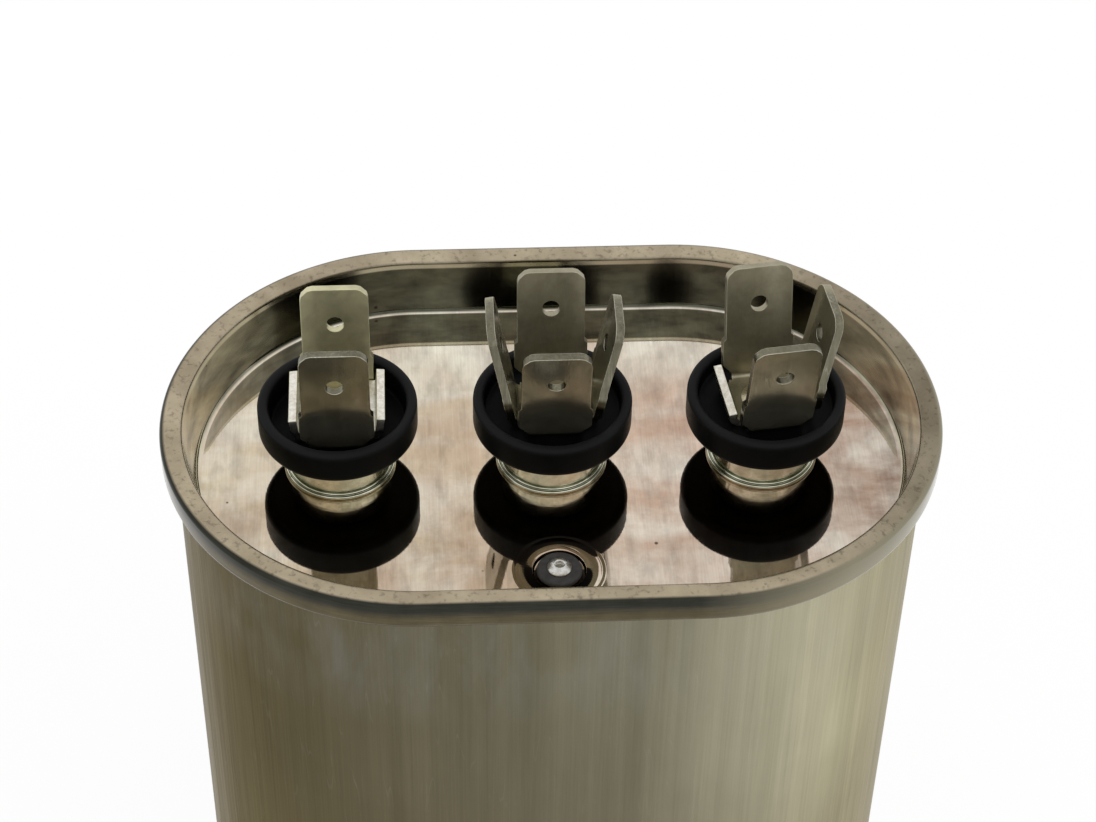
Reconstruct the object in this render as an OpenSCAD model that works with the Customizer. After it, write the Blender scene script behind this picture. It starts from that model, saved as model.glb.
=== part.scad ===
// Motor run capacitor, dual type, in an oval drawn can.
//
// A deep oval aluminium can is closed by a tinplate lid. The two sheets are rolled
// together in a double seam, which is modelled layer by layer. Three riveted terminals
// stand on the lid, each with its own set of push-on tabs. Inside, two flattened rolls of
// metallised film sit one above the other and are wired to the terminals.
//
// Frame: origin at the centre of the can's base, +Z up, the row of terminals along X,
// front face towards -Y. Sizes in millimetres.

/* [Can] */
// length over the seam
case_len = 73.9; // [60:0.1:90]
// width over the seam
case_wid = 48.5; // [40:0.1:60]
// height from the base to the top of the seam
case_h = 98.6; // [70:0.1:140]
// wall of the drawn can
can_wall = 0.45; // [0.3:0.05:0.6]
// floor of the drawn can
can_floor = 0.7; // [0.4:0.05:1.5]
// outside radius where the wall turns into the floor
can_corner_r = 3; // [1.5:0.1:4]

/* [Lid and seam] */
// tinplate sheet of the lid
lid_sheet = 0.35; // [0.2:0.01:0.45]
// height of the rolled seam
seam_h = 3; // [2.5:0.1:4]
// play between the rolled layers
seam_gap = 0.05; // [0.03:0.01:0.1]
// outside radius of the seam's top edges
seam_top_r = 0.5; // [0.45:0.05:0.7]
// depth of the lid below the top of the seam
lid_depth = 5.9; // [4:0.1:9]
// how far the well's wall leans inwards over its depth
lid_lean = 0.85; // [0:0.05:1.5]
// inside radius where the well's wall meets the panel
lid_fillet = 0.6; // [0.3:0.1:1.5]

/* [Fill hole] */
// distance of the fill hole in front of the row of terminals
fill_ahead = 14.8; // [13:0.1:15]
// radius of the dished seat
fill_dish_r = 4.4; // [3:0.1:4.8]
// depth of the dished seat
fill_dish_depth = 0.4; // [0.2:0.05:0.8]
// radius of the rubber sealing ring
fill_gasket_r = 2.3; // [1.8:0.1:2.6]
// thickness of the rubber sealing ring
fill_gasket_t = 0.6; // [0.3:0.1:1]
// shank radius of the closing pin
fill_pin_r = 0.8; // [0.5:0.05:1]
// head radius of the closing pin
fill_head_r = 1.7; // [1.3:0.1:1.8]
// head height of the closing pin
fill_head_h = 0.7; // [0.4:0.1:1.2]

/* [Terminals] */
// distance of the outer terminals from the ends of the case
terminal_inset = 16.75; // [16:0.05:18]
// diameter of the insulating cup
cup_d = 15; // [14:0.1:16]
// wall of the cup's rim
cup_rim = 1.05; // [1:0.05:1.4]
// height of the cup
cup_h = 3.6; // [3.4:0.1:4.5]
// gap between the lid and the cup's underside
cup_lift = 4.4; // [4:0.1:6]
// thickness of the cup's floor under the tabs
cup_floor_t = 1.9; // [1.6:0.05:2.2]
// how much deeper the left tabs sit in their cup
left_sink = 1.1; // [0:0.05:1.2]
// radius of the ferrule's foot on the lid
foot_r = 5.4; // [5:0.1:6]
// sheet of the ferrule
ferrule_sheet = 0.35; // [0.25:0.05:0.45]
// radius of the sweep from the ferrule's foot into its throat
ferrule_sweep = 1.9; // [1.6:0.1:2.1]
// shank radius of the terminal rivet
rivet_r = 1.5; // [1.2:0.1:1.6]
// radius of the rivet's heads
rivet_head_r = 2.4; // [2.1:0.1:2.7]
// height of the rivet's upper head
rivet_head_h = 0.6; // [0.4:0.1:1]
// height of the rivet's lower head
rivet_tail_h = 1; // [0.6:0.1:1.5]
// wall of the cup's stem round the rivet
stem_wall = 0.65; // [0.5:0.05:0.8]
// radial play between parts that slide over each other
slip = 0.06; // [0.04:0.01:0.1]
// thickness of the insulating washer under the lid
washer_t = 1.5; // [1:0.1:2.5]
// how far the washer reaches past the lid's hole
washer_over = 1.5; // [1:0.1:2]
// how far the rubber sealing sleeve reaches up into the ferrule
gasket_h = 0.8; // [0.4:0.1:1.1]

/* [Tabs] */
// width of a push-on tab
tab_w = 6.35; // [6:0.05:6.6]
// thickness of the tab sheet
tab_t = 0.8; // [0.6:0.05:0.9]
// length of a tab above its bend
tab_len = 11.2; // [9:0.1:13]
// length of the narrow part that a connector slides on
tab_plug_len = 7.5; // [6:0.1:8]
// width of the tab's shoulders
tab_shoulder_w = 6.9; // [6.6:0.05:7]
// width of the tab at its bend
tab_root_w = 5.2; // [4.6:0.1:5.6]
// corner cuts at the tip
tab_tip_cut = 1.2; // [0.6:0.1:1.6]
// diameter of the locking hole
tab_hole_d = 1.75; // [1.4:0.05:2]
// distance of the locking hole from the tip
tab_hole_down = 3.9; // [3.2:0.1:4.5]
// inside bend radius
tab_bend_r = 0.5; // [0.3:0.05:0.7]
// distance from the terminal's axis to a tab's outer face at the bend
tab_out = 4.25; // [4.25:0.05:4.5]
// height of a cut-off tab above its bend
stub_h = 1.25; // [1:0.05:2]
// outward lean of the left tabs, in degrees
left_lean = 6; // [0:0.1:12]
// outward lean of the centre tabs, in degrees
centre_lean = 10.7; // [0:0.1:12]
// outward lean of the right tabs, in degrees
right_lean = 8.5; // [0:0.1:12]
// turn of the right terminal on its rivet, in degrees
right_turn = 7; // [-10:0.5:10]

/* [Windings] */
// height of the fan winding; the main winding takes the rest of the height
fan_h = 13; // [8:0.5:20]
// room between the stack of windings and the leads that cross above it
stack_room = 4.8; // [3:0.1:8]
// thickness of the sprayed metal on each end of a winding
contact_t = 0.5; // [0.3:0.1:0.8]
// room for a lead between the windings and the liner
lead_room = 2.1; // [2:0.1:2.4]
// thickness of the flat winding cores
core_t = 3; // [2:0.1:5]
// thickness of the pad under the windings
bottom_pad_t = 2.5; // [2.3:0.1:4]
// thickness of the pad above the windings
top_pad_t = 1.5; // [1:0.1:3]
// wall of the insulating liner
liner_wall = 0.4; // [0.2:0.05:0.5]
// play between the liner and the can
liner_gap = 0.2; // [0.1:0.05:0.25]
// gap between the liner's upper end and the lid
liner_short = 2.2; // [1:0.1:4]

/* [Leads] */
// diameter of an insulated lead
lead_d = 1.6; // [1.2:0.1:1.7]
// centre-line radius of a lead's bends
lead_bend = 2.2; // [1.8:0.1:2.6]
// height of the leads' cross runs below the lid
lead_drop = 7.7; // [6.8:0.1:9]
// length of lead soldered along a winding's end
lead_hold = 11; // [6:0.5:14]

/* [Hidden] */
$fn = 96;
e = 0.01;                                             // overshoot of cutting shapes
bend_steps = 12;                                      // flats that make up a bend of the tabs
tab_grip = 1;                                         // strip of base that a flap's side view takes in

pitch = case_len / 2 - terminal_inset;                // distance between terminals

// the seam, counted inwards from its outer face
straight = case_len - case_wid;                       // straight run of the oval
seam_r = case_wid / 2;                                // end radius at the seam's face
hook_out = lid_sheet + seam_gap;                      // outer face of the can's hook
lid_hook_out = hook_out + can_wall + seam_gap;        // outer face of the lid's hook
wall_out = lid_hook_out + lid_sheet + seam_gap;       // outer face of the can's wall
seam_w = wall_out + can_wall + seam_gap + lid_sheet;  // full thickness of the seam
can_r = seam_r - wall_out;                            // end radius of the can's wall
bore_r = can_r - can_wall;                            // end radius of the can's inside

// heights
panel_z = case_h - lid_depth;                         // top of the lid's panel
under_lid = panel_z - lid_sheet;                      // underside of the lid's panel
well_r = seam_r - seam_w - lid_lean;                  // end radius of the lid's panel
cup_z = panel_z + cup_lift;                           // underside of the cups
seat_z = cup_z + cup_floor_t;                         // tabs' seat in the cups
tail_z = under_lid - washer_t - rivet_tail_h;         // lower end of the rivets
bore_fit = rivet_r + slip;                            // holes that the rivet passes
stem_r = bore_fit + stem_wall;                        // outside of the cup's stem
throat_r = stem_r + slip;                             // inside of the ferrule's throat
lid_hole_r = throat_r + ferrule_sweep;                // holes in the lid under the ferrules
washer_r = lid_hole_r + washer_over;                  // washer bears on the lid round its hole

// the stack of windings
liner_r = bore_r - liner_gap;                         // outside of the liner
roll_r = liner_r - liner_wall - lead_room;            // end radius of the windings
slot = lead_d + 0.1;                                  // channel that holds a lead
lead_out = liner_r - liner_wall - lead_room / 2;      // leads run up the middle of their room
cross_z = panel_z - lead_drop;                        // centre of the leads' cross runs
main_z = can_floor + bottom_pad_t;                    // underside of the main winding's contact
top_pad_z = cross_z - lead_d / 2 - stack_room - top_pad_t;  // underside of the top pad
fan_z = top_pad_z - fan_h - 2 * contact_t;            // underside of the fan winding's contact
split_z = fan_z - slot;                               // underside of the separator
main_h = split_z - main_z - 2 * contact_t;            // height of the main winding

// ---------------------------------------------------------------- shared shapes

// carries a half section round the oval: two round ends and the straight run between
module round_the_oval() {
  for (side = [-1, 1])
    translate([side * straight / 2, 0, 0]) rotate([0, 0, -90 * side])
      rotate_extrude(angle = 180) children();
  rotate([90, 0, 90]) linear_extrude(straight, center = true) {
    children();
    mirror([1, 0]) children();
  }
}

// flat plate of the oval's form with end radius r
module oval_plate(r, h) {
  linear_extrude(h) {
    for (side = [-1, 1]) translate([side * straight / 2, 0]) circle(r);
    square([straight, 2 * r], center = true);
  }
}

// part of a ring in a section: quadrants 0 to 3 are counted from the upper right
module ring_quarter(outer, inner, quadrant) {
  intersection() {
    difference() { circle(outer); circle(inner); }
    rotate(90 * quadrant) square(outer + e);
  }
}

// half section of a pot: a floor that turns into a wall through a radius
module pot_section(r, z0, z1, corner) {
  translate([0, z0]) square([r - corner, z1 - z0]);
  translate([0, z0 + corner]) square([r, z1 - z0 - corner]);
  translate([r - corner, z0 + corner]) circle(corner);
}

// ---------------------------------------------------------------- can and lid

// drawn can: floor, wall and the hook that the lid's edge is rolled into
module can_body() {
  fold_r = (wall_out + can_wall - hook_out) / 2;      // half the folded width
  fold_z = case_h - hook_out - fold_r;                // centre of the fold
  hook_end = case_h - seam_h + lid_sheet + 2 * seam_gap + (lid_hook_out - lid_sheet) / 2;
  color([0.62, 0.58, 0.5]) round_the_oval() {
    difference() {
      pot_section(can_r, 0, fold_z, can_corner_r);
      pot_section(bore_r, can_floor, fold_z + e, can_corner_r - can_wall);
    }
    translate([seam_r - hook_out - fold_r, fold_z])
      for (quadrant = [0, 1]) ring_quarter(fold_r, fold_r - can_wall, quadrant);
    translate([seam_r - hook_out - can_wall, hook_end])
      square([can_wall, fold_z - hook_end]);
  }
}

// half section of the lid: hook, seaming wall, top, well wall and panel
module lid_section() {
  curl_r = (lid_hook_out + lid_sheet) / 2;            // half the width of the lower curl
  curl_z = case_h - seam_h + curl_r;
  hook_top = case_h - hook_out - can_wall - seam_gap
    - (lid_hook_out + lid_sheet + seam_gap - hook_out - can_wall) / 2;
  top_in = seam_top_r - lid_sheet;
  well_top = case_h - seam_top_r;
  foot = lid_fillet + lid_sheet;                      // outer radius of the well's fillet
  translate([seam_r - lid_sheet, curl_z]) square([lid_sheet, well_top - curl_z]);
  translate([seam_r - lid_hook_out - lid_sheet, curl_z]) square([lid_sheet, hook_top - curl_z]);
  translate([seam_r - curl_r, curl_z])
    for (quadrant = [2, 3]) ring_quarter(curl_r, curl_r - lid_sheet, quadrant);
  translate([seam_r - seam_top_r, well_top]) ring_quarter(seam_top_r, top_in, 0);
  translate([seam_r - seam_w + seam_top_r, well_top]) ring_quarter(seam_top_r, top_in, 1);
  translate([seam_r - seam_w + seam_top_r, case_h - lid_sheet])
    square([seam_w - 2 * seam_top_r, lid_sheet]);
  polygon([
    [seam_r - seam_w, well_top], [seam_r - seam_w + lid_sheet, well_top],
    [well_r + lid_sheet, under_lid + foot], [well_r, under_lid + foot]
  ]);
  translate([well_r - lid_fillet, under_lid + foot]) ring_quarter(foot, lid_fillet, 3);
  translate([0, under_lid]) square([well_r - lid_fillet, lid_sheet]);
}

// pressed lid with the terminal holes and the dished, pierced fill seat
module lid() {
  color([0.8, 0.78, 0.74]) {
    difference() {
      round_the_oval() lid_section();
      for (place = [-1, 0, 1]) translate([place * pitch, 0, under_lid - e])
        cylinder(r = lid_hole_r, h = lid_sheet + 2 * e);
      translate([0, -fill_ahead, under_lid - e]) cylinder(r = fill_dish_r, h = lid_sheet + 2 * e);
    }
    translate([0, -fill_ahead, under_lid]) rotate_extrude() polygon([
      [fill_pin_r + slip, -fill_dish_depth],
      [fill_dish_r - 2 * fill_dish_depth, -fill_dish_depth], [fill_dish_r, 0],
      [fill_dish_r, lid_sheet],
      [fill_dish_r - 2 * fill_dish_depth, lid_sheet - fill_dish_depth],
      [fill_pin_r + slip, lid_sheet - fill_dish_depth]
    ]);
  }
}

// rubber ring under the head of the closing pin
module fill_gasket() {
  color([0.12, 0.11, 0.1]) translate([0, -fill_ahead, panel_z - fill_dish_depth])
    difference() {
      cylinder(r = fill_gasket_r, h = fill_gasket_t);
      translate([0, 0, -e]) cylinder(r = fill_pin_r + slip, h = fill_gasket_t + 2 * e);
    }
}

// closing pin: dimpled head, shank and the lip set under the lid
module fill_pin() {
  head_z = panel_z - fill_dish_depth + fill_gasket_t;
  lip_z = under_lid - fill_dish_depth;
  lip_h = 0.5 * fill_head_h;
  color([0.75, 0.75, 0.73]) translate([0, -fill_ahead, 0]) difference() {
    union() {
      translate([0, 0, head_z]) intersection() {
        cylinder(r = fill_head_r, h = fill_head_h);
        translate([0, 0, fill_head_h - 2 * fill_head_r]) sphere(2 * fill_head_r);
      }
      translate([0, 0, lip_z - lip_h]) cylinder(r = fill_pin_r, h = head_z - lip_z + lip_h + e);
      translate([0, 0, lip_z - lip_h]) cylinder(r = 1.5 * fill_pin_r, h = lip_h);
    }
    translate([0, 0, head_z + fill_head_h / 2]) cylinder(r = fill_pin_r / 2, h = fill_head_h);
  }
}

// ---------------------------------------------------------------- terminals

// drawn ferrule: foot on the lid, swept up into the throat that carries the cup
module ferrule() {
  sweep_out = ferrule_sweep - ferrule_sheet;          // sweep radius on the outer face
  sweep_x = throat_r + ferrule_sheet + sweep_out;
  bead = ferrule_sheet * 0.8;                         // rolled edge of the foot
  color([0.82, 0.82, 0.74]) translate([0, 0, panel_z]) rotate_extrude() {
    translate([throat_r, ferrule_sweep])
      square([ferrule_sheet, cup_lift - ferrule_sweep]);
    translate([sweep_x, ferrule_sweep]) ring_quarter(ferrule_sweep, sweep_out, 2);
    translate([sweep_x, 0]) square([foot_r - bead - sweep_x, ferrule_sheet]);
    translate([foot_r - bead, bead]) circle(bead);
  }
}

// moulded cup with a rounded rim and a stem that lines the ferrule's throat
module cup(sink) {
  r = cup_d / 2;
  edge = cup_rim * 0.43;                              // rounding of the rim
  heel = 0.9;                                         // rounding of the lower edge
  floor_t = cup_floor_t - sink;
  color([0.06, 0.06, 0.06]) translate([0, 0, cup_z]) rotate_extrude() {
    translate([bore_fit, 0]) square([r - heel - bore_fit, min(floor_t, heel)]);
    translate([bore_fit, 0]) square([r - cup_rim - bore_fit, floor_t]);
    intersection() {
      translate([r - heel, heel]) circle(heel);
      translate([r - cup_rim, 0]) square([cup_rim, heel]);
    }
    translate([r - cup_rim, heel - e]) square([cup_rim, cup_h - edge - heel + e]);
    for (x = [r - edge, r - cup_rim + edge]) translate([x, cup_h - edge]) circle(edge);
    translate([r - cup_rim + edge, cup_h - 2 * edge]) square([cup_rim - 2 * edge, 2 * edge]);
    translate([bore_fit, -cup_lift - lid_sheet]) square([stem_wall, cup_lift + lid_sheet + e]);
  }
}

// rubber sleeve round the stem, moulded to the sweep of the ferrule's mouth
module gasket() {
  inner = stem_r + slip;
  color([0.2, 0.18, 0.17]) translate([0, 0, under_lid]) rotate_extrude() difference() {
    translate([inner, 0]) square([lid_hole_r - slip - inner, lid_sheet + gasket_h]);
    translate([lid_hole_r, lid_sheet + ferrule_sweep]) circle(ferrule_sweep + slip);
  }
}

// insulating washer under the lid
module washer() {
  color([0.45, 0.3, 0.18]) translate([0, 0, under_lid - washer_t]) difference() {
    cylinder(r = washer_r, h = washer_t);
    translate([0, 0, -e]) cylinder(r = bore_fit, h = washer_t + 2 * e);
  }
}

// rivet that clamps tabs, cup, ferrule, lid and washer
module rivet(sink) {
  head_z = seat_z - sink + tab_t;
  color([0.7, 0.62, 0.45]) {
    translate([0, 0, head_z]) intersection() {
      cylinder(r = rivet_head_r, h = rivet_head_h);
      translate([0, 0, rivet_head_h - 2 * rivet_head_r]) sphere(2 * rivet_head_r);
    }
    translate([0, 0, tail_z]) cylinder(r = rivet_r, h = head_z - tail_z + e);
    translate([0, 0, tail_z]) cylinder(r = rivet_head_r, h = rivet_tail_h);
  }
}

// face outline of a flap, from below its bend to its end at height h above the bend
module flap_outline(h) {
  root = tab_root_w / 2;
  wide = tab_shoulder_w / 2;
  slim = tab_w / 2;
  step = wide - slim;
  flare = wide - root;
  neck = h - tab_plug_len;                            // start of the narrow part
  below = -2 * tab_out;
  if (neck > flare) polygon([
    [-root, below], [root, below], [root, 0], [wide, flare], [wide, neck - step], [slim, neck],
    [slim, h - tab_tip_cut], [slim - tab_tip_cut, h], [tab_tip_cut - slim, h],
    [-slim, h - tab_tip_cut], [-slim, neck], [-wide, neck - step], [-wide, flare],
    [-root, 0]
  ]);
  else polygon([
    [-root, below], [root, below], [root, 0], [wide, flare], [wide, h], [-wide, h],
    [-wide, flare], [-root, 0]
  ]);
}

// arc of a bend seen from the side, from the base round to the upright
function bend_arc(r, lean) = [for (i = [0:bend_steps])
  let (a = (90 - lean) * i / bend_steps - 90) [r * cos(a), r * sin(a)]];

// side view of a flap, about the bend's centre: strip of base, bend and upright
module flap_side(lean, h) {
  outer = bend_arc(tab_bend_r + tab_t, lean);
  inner = bend_arc(tab_bend_r, lean);
  rise = (h + tab_t) * [sin(lean), cos(lean)];        // runs past the outline's end
  polygon(concat(
    [[-tab_grip, -tab_bend_r - tab_t]], outer, [outer[bend_steps] + rise],
    [inner[bend_steps] + rise], [for (i = [bend_steps:-1:0]) inner[i]],
    [[-tab_grip, -tab_bend_r]]
  ));
}

// one folded flap towards +X, whole or cut off short: side view and face outline in one
module flap(lean, whole) {
  h = whole ? tab_len : stub_h;
  translate([tab_out - tab_bend_r - tab_t, 0, tab_t + tab_bend_r]) intersection() {
    rotate([90, 0, 0]) linear_extrude(2 * tab_shoulder_w, center = true) flap_side(lean, h);
    rotate([0, lean, 0]) rotate([90, 0, 90]) linear_extrude(2 * tab_out, center = true)
      difference() {
        flap_outline(h);
        if (whole) translate([0, h - tab_hole_down]) circle(d = tab_hole_d);
      }
  }
}

// folded stamping: a square base with four flaps; wholes lists right, back, left, front
module tabs(lean, sink, wholes) {
  base = 2 * (tab_out - tab_bend_r - tab_t);
  color([0.72, 0.69, 0.62]) translate([0, 0, seat_z - sink]) {
    difference() {
      translate([-base / 2, -base / 2, 0]) cube([base, base, tab_t]);
      translate([0, 0, -e]) cylinder(r = bore_fit, h = tab_t + 2 * e);
    }
    for (side = [0:3]) rotate([0, 0, 90 * side]) flap(lean, wholes[side]);
  }
}

// ---------------------------------------------------------------- windings

// moulded pad on the can's floor, with a channel for the main lead
module bottom_pad() {
  color([0.85, 0.82, 0.72]) translate([0, 0, can_floor]) difference() {
    oval_plate(roll_r, bottom_pad_t);
    translate([straight / 2 + lead_out - lead_hold - lead_bend - 1, -slot / 2, bottom_pad_t - slot])
      cube([case_len, slot, slot + e]);
  }
}

// tube of insulating film between the windings and the can
module liner() {
  base = can_corner_r + 0.4;
  color([0.8, 0.72, 0.5]) translate([0, 0, base]) difference() {
    oval_plate(liner_r, under_lid - base - liner_short);
    translate([0, 0, -e]) oval_plate(liner_r - liner_wall, case_h);
  }
}

// flat core that a roll is wound on
module core(z, h) {
  color([0.9, 0.9, 0.86]) translate([0, 0, z]) oval_plate(core_t / 2, h);
}

// flattened roll of metallised film
module winding(z, h) {
  color([0.6, 0.62, 0.66]) translate([0, 0, z]) difference() {
    oval_plate(roll_r, h);
    translate([0, 0, -e]) oval_plate(core_t / 2 + slip, h + 2 * e);
  }
}

// layer of metal sprayed on a roll's end
module contact(z) {
  color([0.55, 0.56, 0.58]) translate([0, 0, z]) oval_plate(roll_r, contact_t);
}

// insulating plate between the rolls, slotted from the middle for the common lead
module separator() {
  color([0.85, 0.82, 0.72]) translate([0, 0, split_z]) difference() {
    oval_plate(roll_r, slot);
    translate([-slot / 2, roll_r - lead_hold, -e]) cube([slot, case_wid, slot + 2 * e]);
  }
}

// plate on top of the stack, pierced for the fan lead
module top_pad() {
  color([0.85, 0.82, 0.72]) translate([0, 0, top_pad_z]) difference() {
    oval_plate(roll_r, top_pad_t);
    translate([-pitch, 0, -e]) cylinder(r = slot / 2, h = top_pad_t + 2 * e);
  }
}

// ---------------------------------------------------------------- leads

// bend of a lead in the XZ plane about its centre, with the straight runs on both sides:
// one comes along +X below the centre, the other goes up beside it
module lead_elbow(before, after) {
  rotate([90, 0, 0]) rotate([0, 0, -90]) rotate_extrude(angle = 90)
    translate([lead_bend, 0]) circle(d = lead_d);
  translate([0, 0, -lead_bend]) rotate([0, -90, 0]) cylinder(d = lead_d, h = before);
  translate([lead_bend, 0, 0]) cylinder(d = lead_d, h = after);
}

// lead that runs out along X at low_z, up at x = out, back in at cross_z and up at x = inn;
// the runs between two bends are drawn from both bends and overlap in the middle
module lead(low_z, hold, out, inn) {
  rise = 0.6 * (cross_z - low_z - 2 * lead_bend);
  across = 0.6 * (out - inn - 2 * lead_bend);
  color([0.75, 0.2, 0.15]) {
    translate([out - lead_bend, 0, low_z + lead_bend]) lead_elbow(hold, rise);
    translate([out - lead_bend, 0, cross_z - lead_bend]) mirror([0, 0, 1])
      lead_elbow(across, rise);
    translate([inn + lead_bend, 0, cross_z + lead_bend]) mirror([1, 0, 0])
      lead_elbow(across, tail_z - cross_z - lead_bend);
  }
}

// lead from the foot of the main winding, up the right end, to the right terminal
module main_lead() {
  lead(main_z - slot / 2, lead_hold, straight / 2 + lead_out, pitch);
}

// lead from between the windings, up the back, to the centre terminal
module common_lead() {
  rotate([0, 0, 90]) lead(split_z + slot / 2, lead_hold - lead_bend, lead_out, 0);
}

// short lead from the top of the fan winding to the left terminal
module fan_lead() {
  z = top_pad_z;
  color([0.75, 0.2, 0.15]) translate([-pitch, 0, z]) cylinder(d = lead_d, h = tail_z - z);
}

// ---------------------------------------------------------------- assembly

// puts a terminal part at its place in the row: -1 left, 0 centre, 1 right
module at(place) {
  translate([place * pitch, 0, 0]) rotate([0, 0, place > 0 ? right_turn : 0]) children();
}

can_body();
lid();
fill_gasket();
fill_pin();
at(-1) ferrule();  // left_ferrule
at(0) ferrule();  // centre_ferrule
at(1) ferrule();  // right_ferrule
at(-1) cup(left_sink);  // left_cup
at(0) cup(0);  // centre_cup
at(1) cup(0);  // right_cup
at(-1) gasket();  // left_gasket
at(0) gasket();  // centre_gasket
at(1) gasket();  // right_gasket
at(-1) washer();  // left_washer
at(0) washer();  // centre_washer
at(1) washer();  // right_washer
at(-1) rivet(left_sink);  // left_rivet
at(0) rivet(0);  // centre_rivet
at(1) rivet(0);  // right_rivet
at(-1) tabs(left_lean, left_sink, [false, true, false, true]);  // left_tabs
at(0) tabs(centre_lean, 0, [true, true, true, true]);  // centre_tabs
at(1) tabs(right_lean, 0, [true, true, false, true]);  // right_tabs
bottom_pad();
liner();
core(main_z + contact_t, main_h);  // main_core
winding(main_z + contact_t, main_h);  // main_winding
contact(main_z);  // main_lower_contact
contact(main_z + contact_t + main_h);  // main_upper_contact
separator();
core(fan_z + contact_t, fan_h);  // fan_core
winding(fan_z + contact_t, fan_h);  // fan_winding
contact(fan_z);  // fan_lower_contact
contact(fan_z + contact_t + fan_h);  // fan_upper_contact
top_pad();
main_lead();
common_lead();
fan_lead();
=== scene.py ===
# %% [markdown]
# # Motor run capacitor in an oval can
# A deep drawn aluminium can is closed by a pressed tinplate lid, and three riveted
# terminals with folded push-on tabs stand on the lid. The CAD model gives every place and
# size. This lesson dresses it: the pieces that show are drawn again with finer edges, and
# each piece gets a finish made from nodes. We start by loading the CAD model as a fixed
# frame, because nothing may be moved away from it later.

# %% Load the CAD frame
import math

import bmesh
import bpy
from mathutils import Matrix, Vector


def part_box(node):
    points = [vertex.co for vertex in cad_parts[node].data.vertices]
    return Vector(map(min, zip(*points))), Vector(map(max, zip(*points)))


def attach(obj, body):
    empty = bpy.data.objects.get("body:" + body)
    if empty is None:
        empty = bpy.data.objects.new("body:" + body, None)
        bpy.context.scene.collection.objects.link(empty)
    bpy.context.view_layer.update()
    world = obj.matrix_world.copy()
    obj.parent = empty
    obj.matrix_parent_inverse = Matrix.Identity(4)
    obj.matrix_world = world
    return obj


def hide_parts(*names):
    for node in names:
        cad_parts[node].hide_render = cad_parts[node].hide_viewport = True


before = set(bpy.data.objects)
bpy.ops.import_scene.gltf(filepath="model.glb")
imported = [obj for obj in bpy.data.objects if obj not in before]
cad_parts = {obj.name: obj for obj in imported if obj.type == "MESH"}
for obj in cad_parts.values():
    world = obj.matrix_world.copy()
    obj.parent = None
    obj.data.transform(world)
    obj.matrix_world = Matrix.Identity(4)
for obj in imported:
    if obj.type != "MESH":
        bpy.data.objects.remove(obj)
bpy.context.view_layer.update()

mm = 0.001
print("nodes:", len(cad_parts))

# %% [markdown]
# ## Sizes
# The can's own sizes are needed again wherever a piece is drawn finer than the CAD has it.
# They could be typed once more, but the corners of the CAD pieces already hold most of
# them, so the overall ones are measured, and only sheet thicknesses and radii are named.

# %% Measure the frame
can_low, can_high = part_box("can_body")
lid_low, lid_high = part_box("lid")
washer_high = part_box("centre_washer")[1]
cup_low, cup_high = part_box("centre_cup")
tabs_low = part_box("centre_tabs")[0]
ring_low, ring_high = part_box("fill_gasket")

lid_sheet = 0.35 * mm
seam_end_r = (lid_high.y - lid_low.y) / 2               # end radius of the seam's outer face
half_straight = lid_high.x - seam_end_r                 # half the straight run of the oval
seam_top = lid_high.z
panel_top = washer_high.z + lid_sheet                   # upper face of the lid's panel
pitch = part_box("right_cup")[1].x - cup_high.x           # distance between terminals
fill_y = (ring_low.y + ring_high.y) / 2                 # fill hole in front of the row
print("oval mm:", round(half_straight / mm, 2), round(seam_end_r / mm, 2))
print("can height mm:", round((can_high.z - can_low.z) / mm, 2))
print("panel mm:", round(panel_top / mm, 2), "pitch mm:", round(pitch / mm, 2))

# %% Name the sheet sizes of can, lid and seam
can_wall = 0.45 * mm
can_floor = 0.7 * mm
can_corner_r = 3 * mm
seam_height = 3 * mm
seam_gap = 0.05 * mm
seam_top_r = 0.5 * mm
well_lean = 0.85 * mm
well_fillet = 0.6 * mm

hook_out = lid_sheet + seam_gap                         # outer face of the can's hook
lid_hook_out = hook_out + can_wall + seam_gap           # outer face of the lid's hook
wall_out = lid_hook_out + lid_sheet + seam_gap          # outer face of the can's wall
seam_width = wall_out + can_wall + seam_gap + lid_sheet
can_end_r = seam_end_r - wall_out
panel_end_r = seam_end_r - seam_width - well_lean
print("seam width mm:", round(seam_width / mm, 2), "can end r mm:", round(can_end_r / mm, 2))

# %% [markdown]
# ## Camera
# A camera is an object whose local axes say where it looks: it looks along its own -Z.
# Here the view is set by two angles, a small roll and a distance from a point on the lid,
# the way one would walk up to the part with a phone in hand. The angles are in radians.

# %% Place the camera
look_azimuth = 0.0645
look_elevation = 0.7659
look_roll = 0.0207
look_distance = 253.58 * mm
look_at = Vector((-0.444 * mm, -0.572 * mm, seam_top + 0.665 * mm))
sensor_width = 36
lens_length = 88.5
nearest, farthest = 0.01, 20

view_dir = Vector((
    math.sin(look_azimuth) * math.cos(look_elevation),
    math.cos(look_azimuth) * math.cos(look_elevation),
    -math.sin(look_elevation),
))
level_right = view_dir.cross(Vector((0, 0, 1))).normalized()
level_up = level_right.cross(view_dir)
cam_right = math.cos(look_roll) * level_right + math.sin(look_roll) * level_up
cam_up = math.cos(look_roll) * level_up - math.sin(look_roll) * level_right
cam_place = look_at - view_dir * look_distance

camera = bpy.data.objects.new("camera", bpy.data.cameras.new("camera"))
bpy.context.scene.collection.objects.link(camera)
camera.data.sensor_width = sensor_width
camera.data.lens = lens_length
camera.data.clip_start, camera.data.clip_end = nearest, farthest
camera.matrix_world = Matrix((
    (cam_right.x, cam_up.x, -view_dir.x, cam_place.x),
    (cam_right.y, cam_up.y, -view_dir.y, cam_place.y),
    (cam_right.z, cam_up.z, -view_dir.z, cam_place.z),
    (0, 0, 0, 1),
))
bpy.context.scene.camera = camera
print("camera mm:", [round(c / mm, 1) for c in cam_place])

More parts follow.
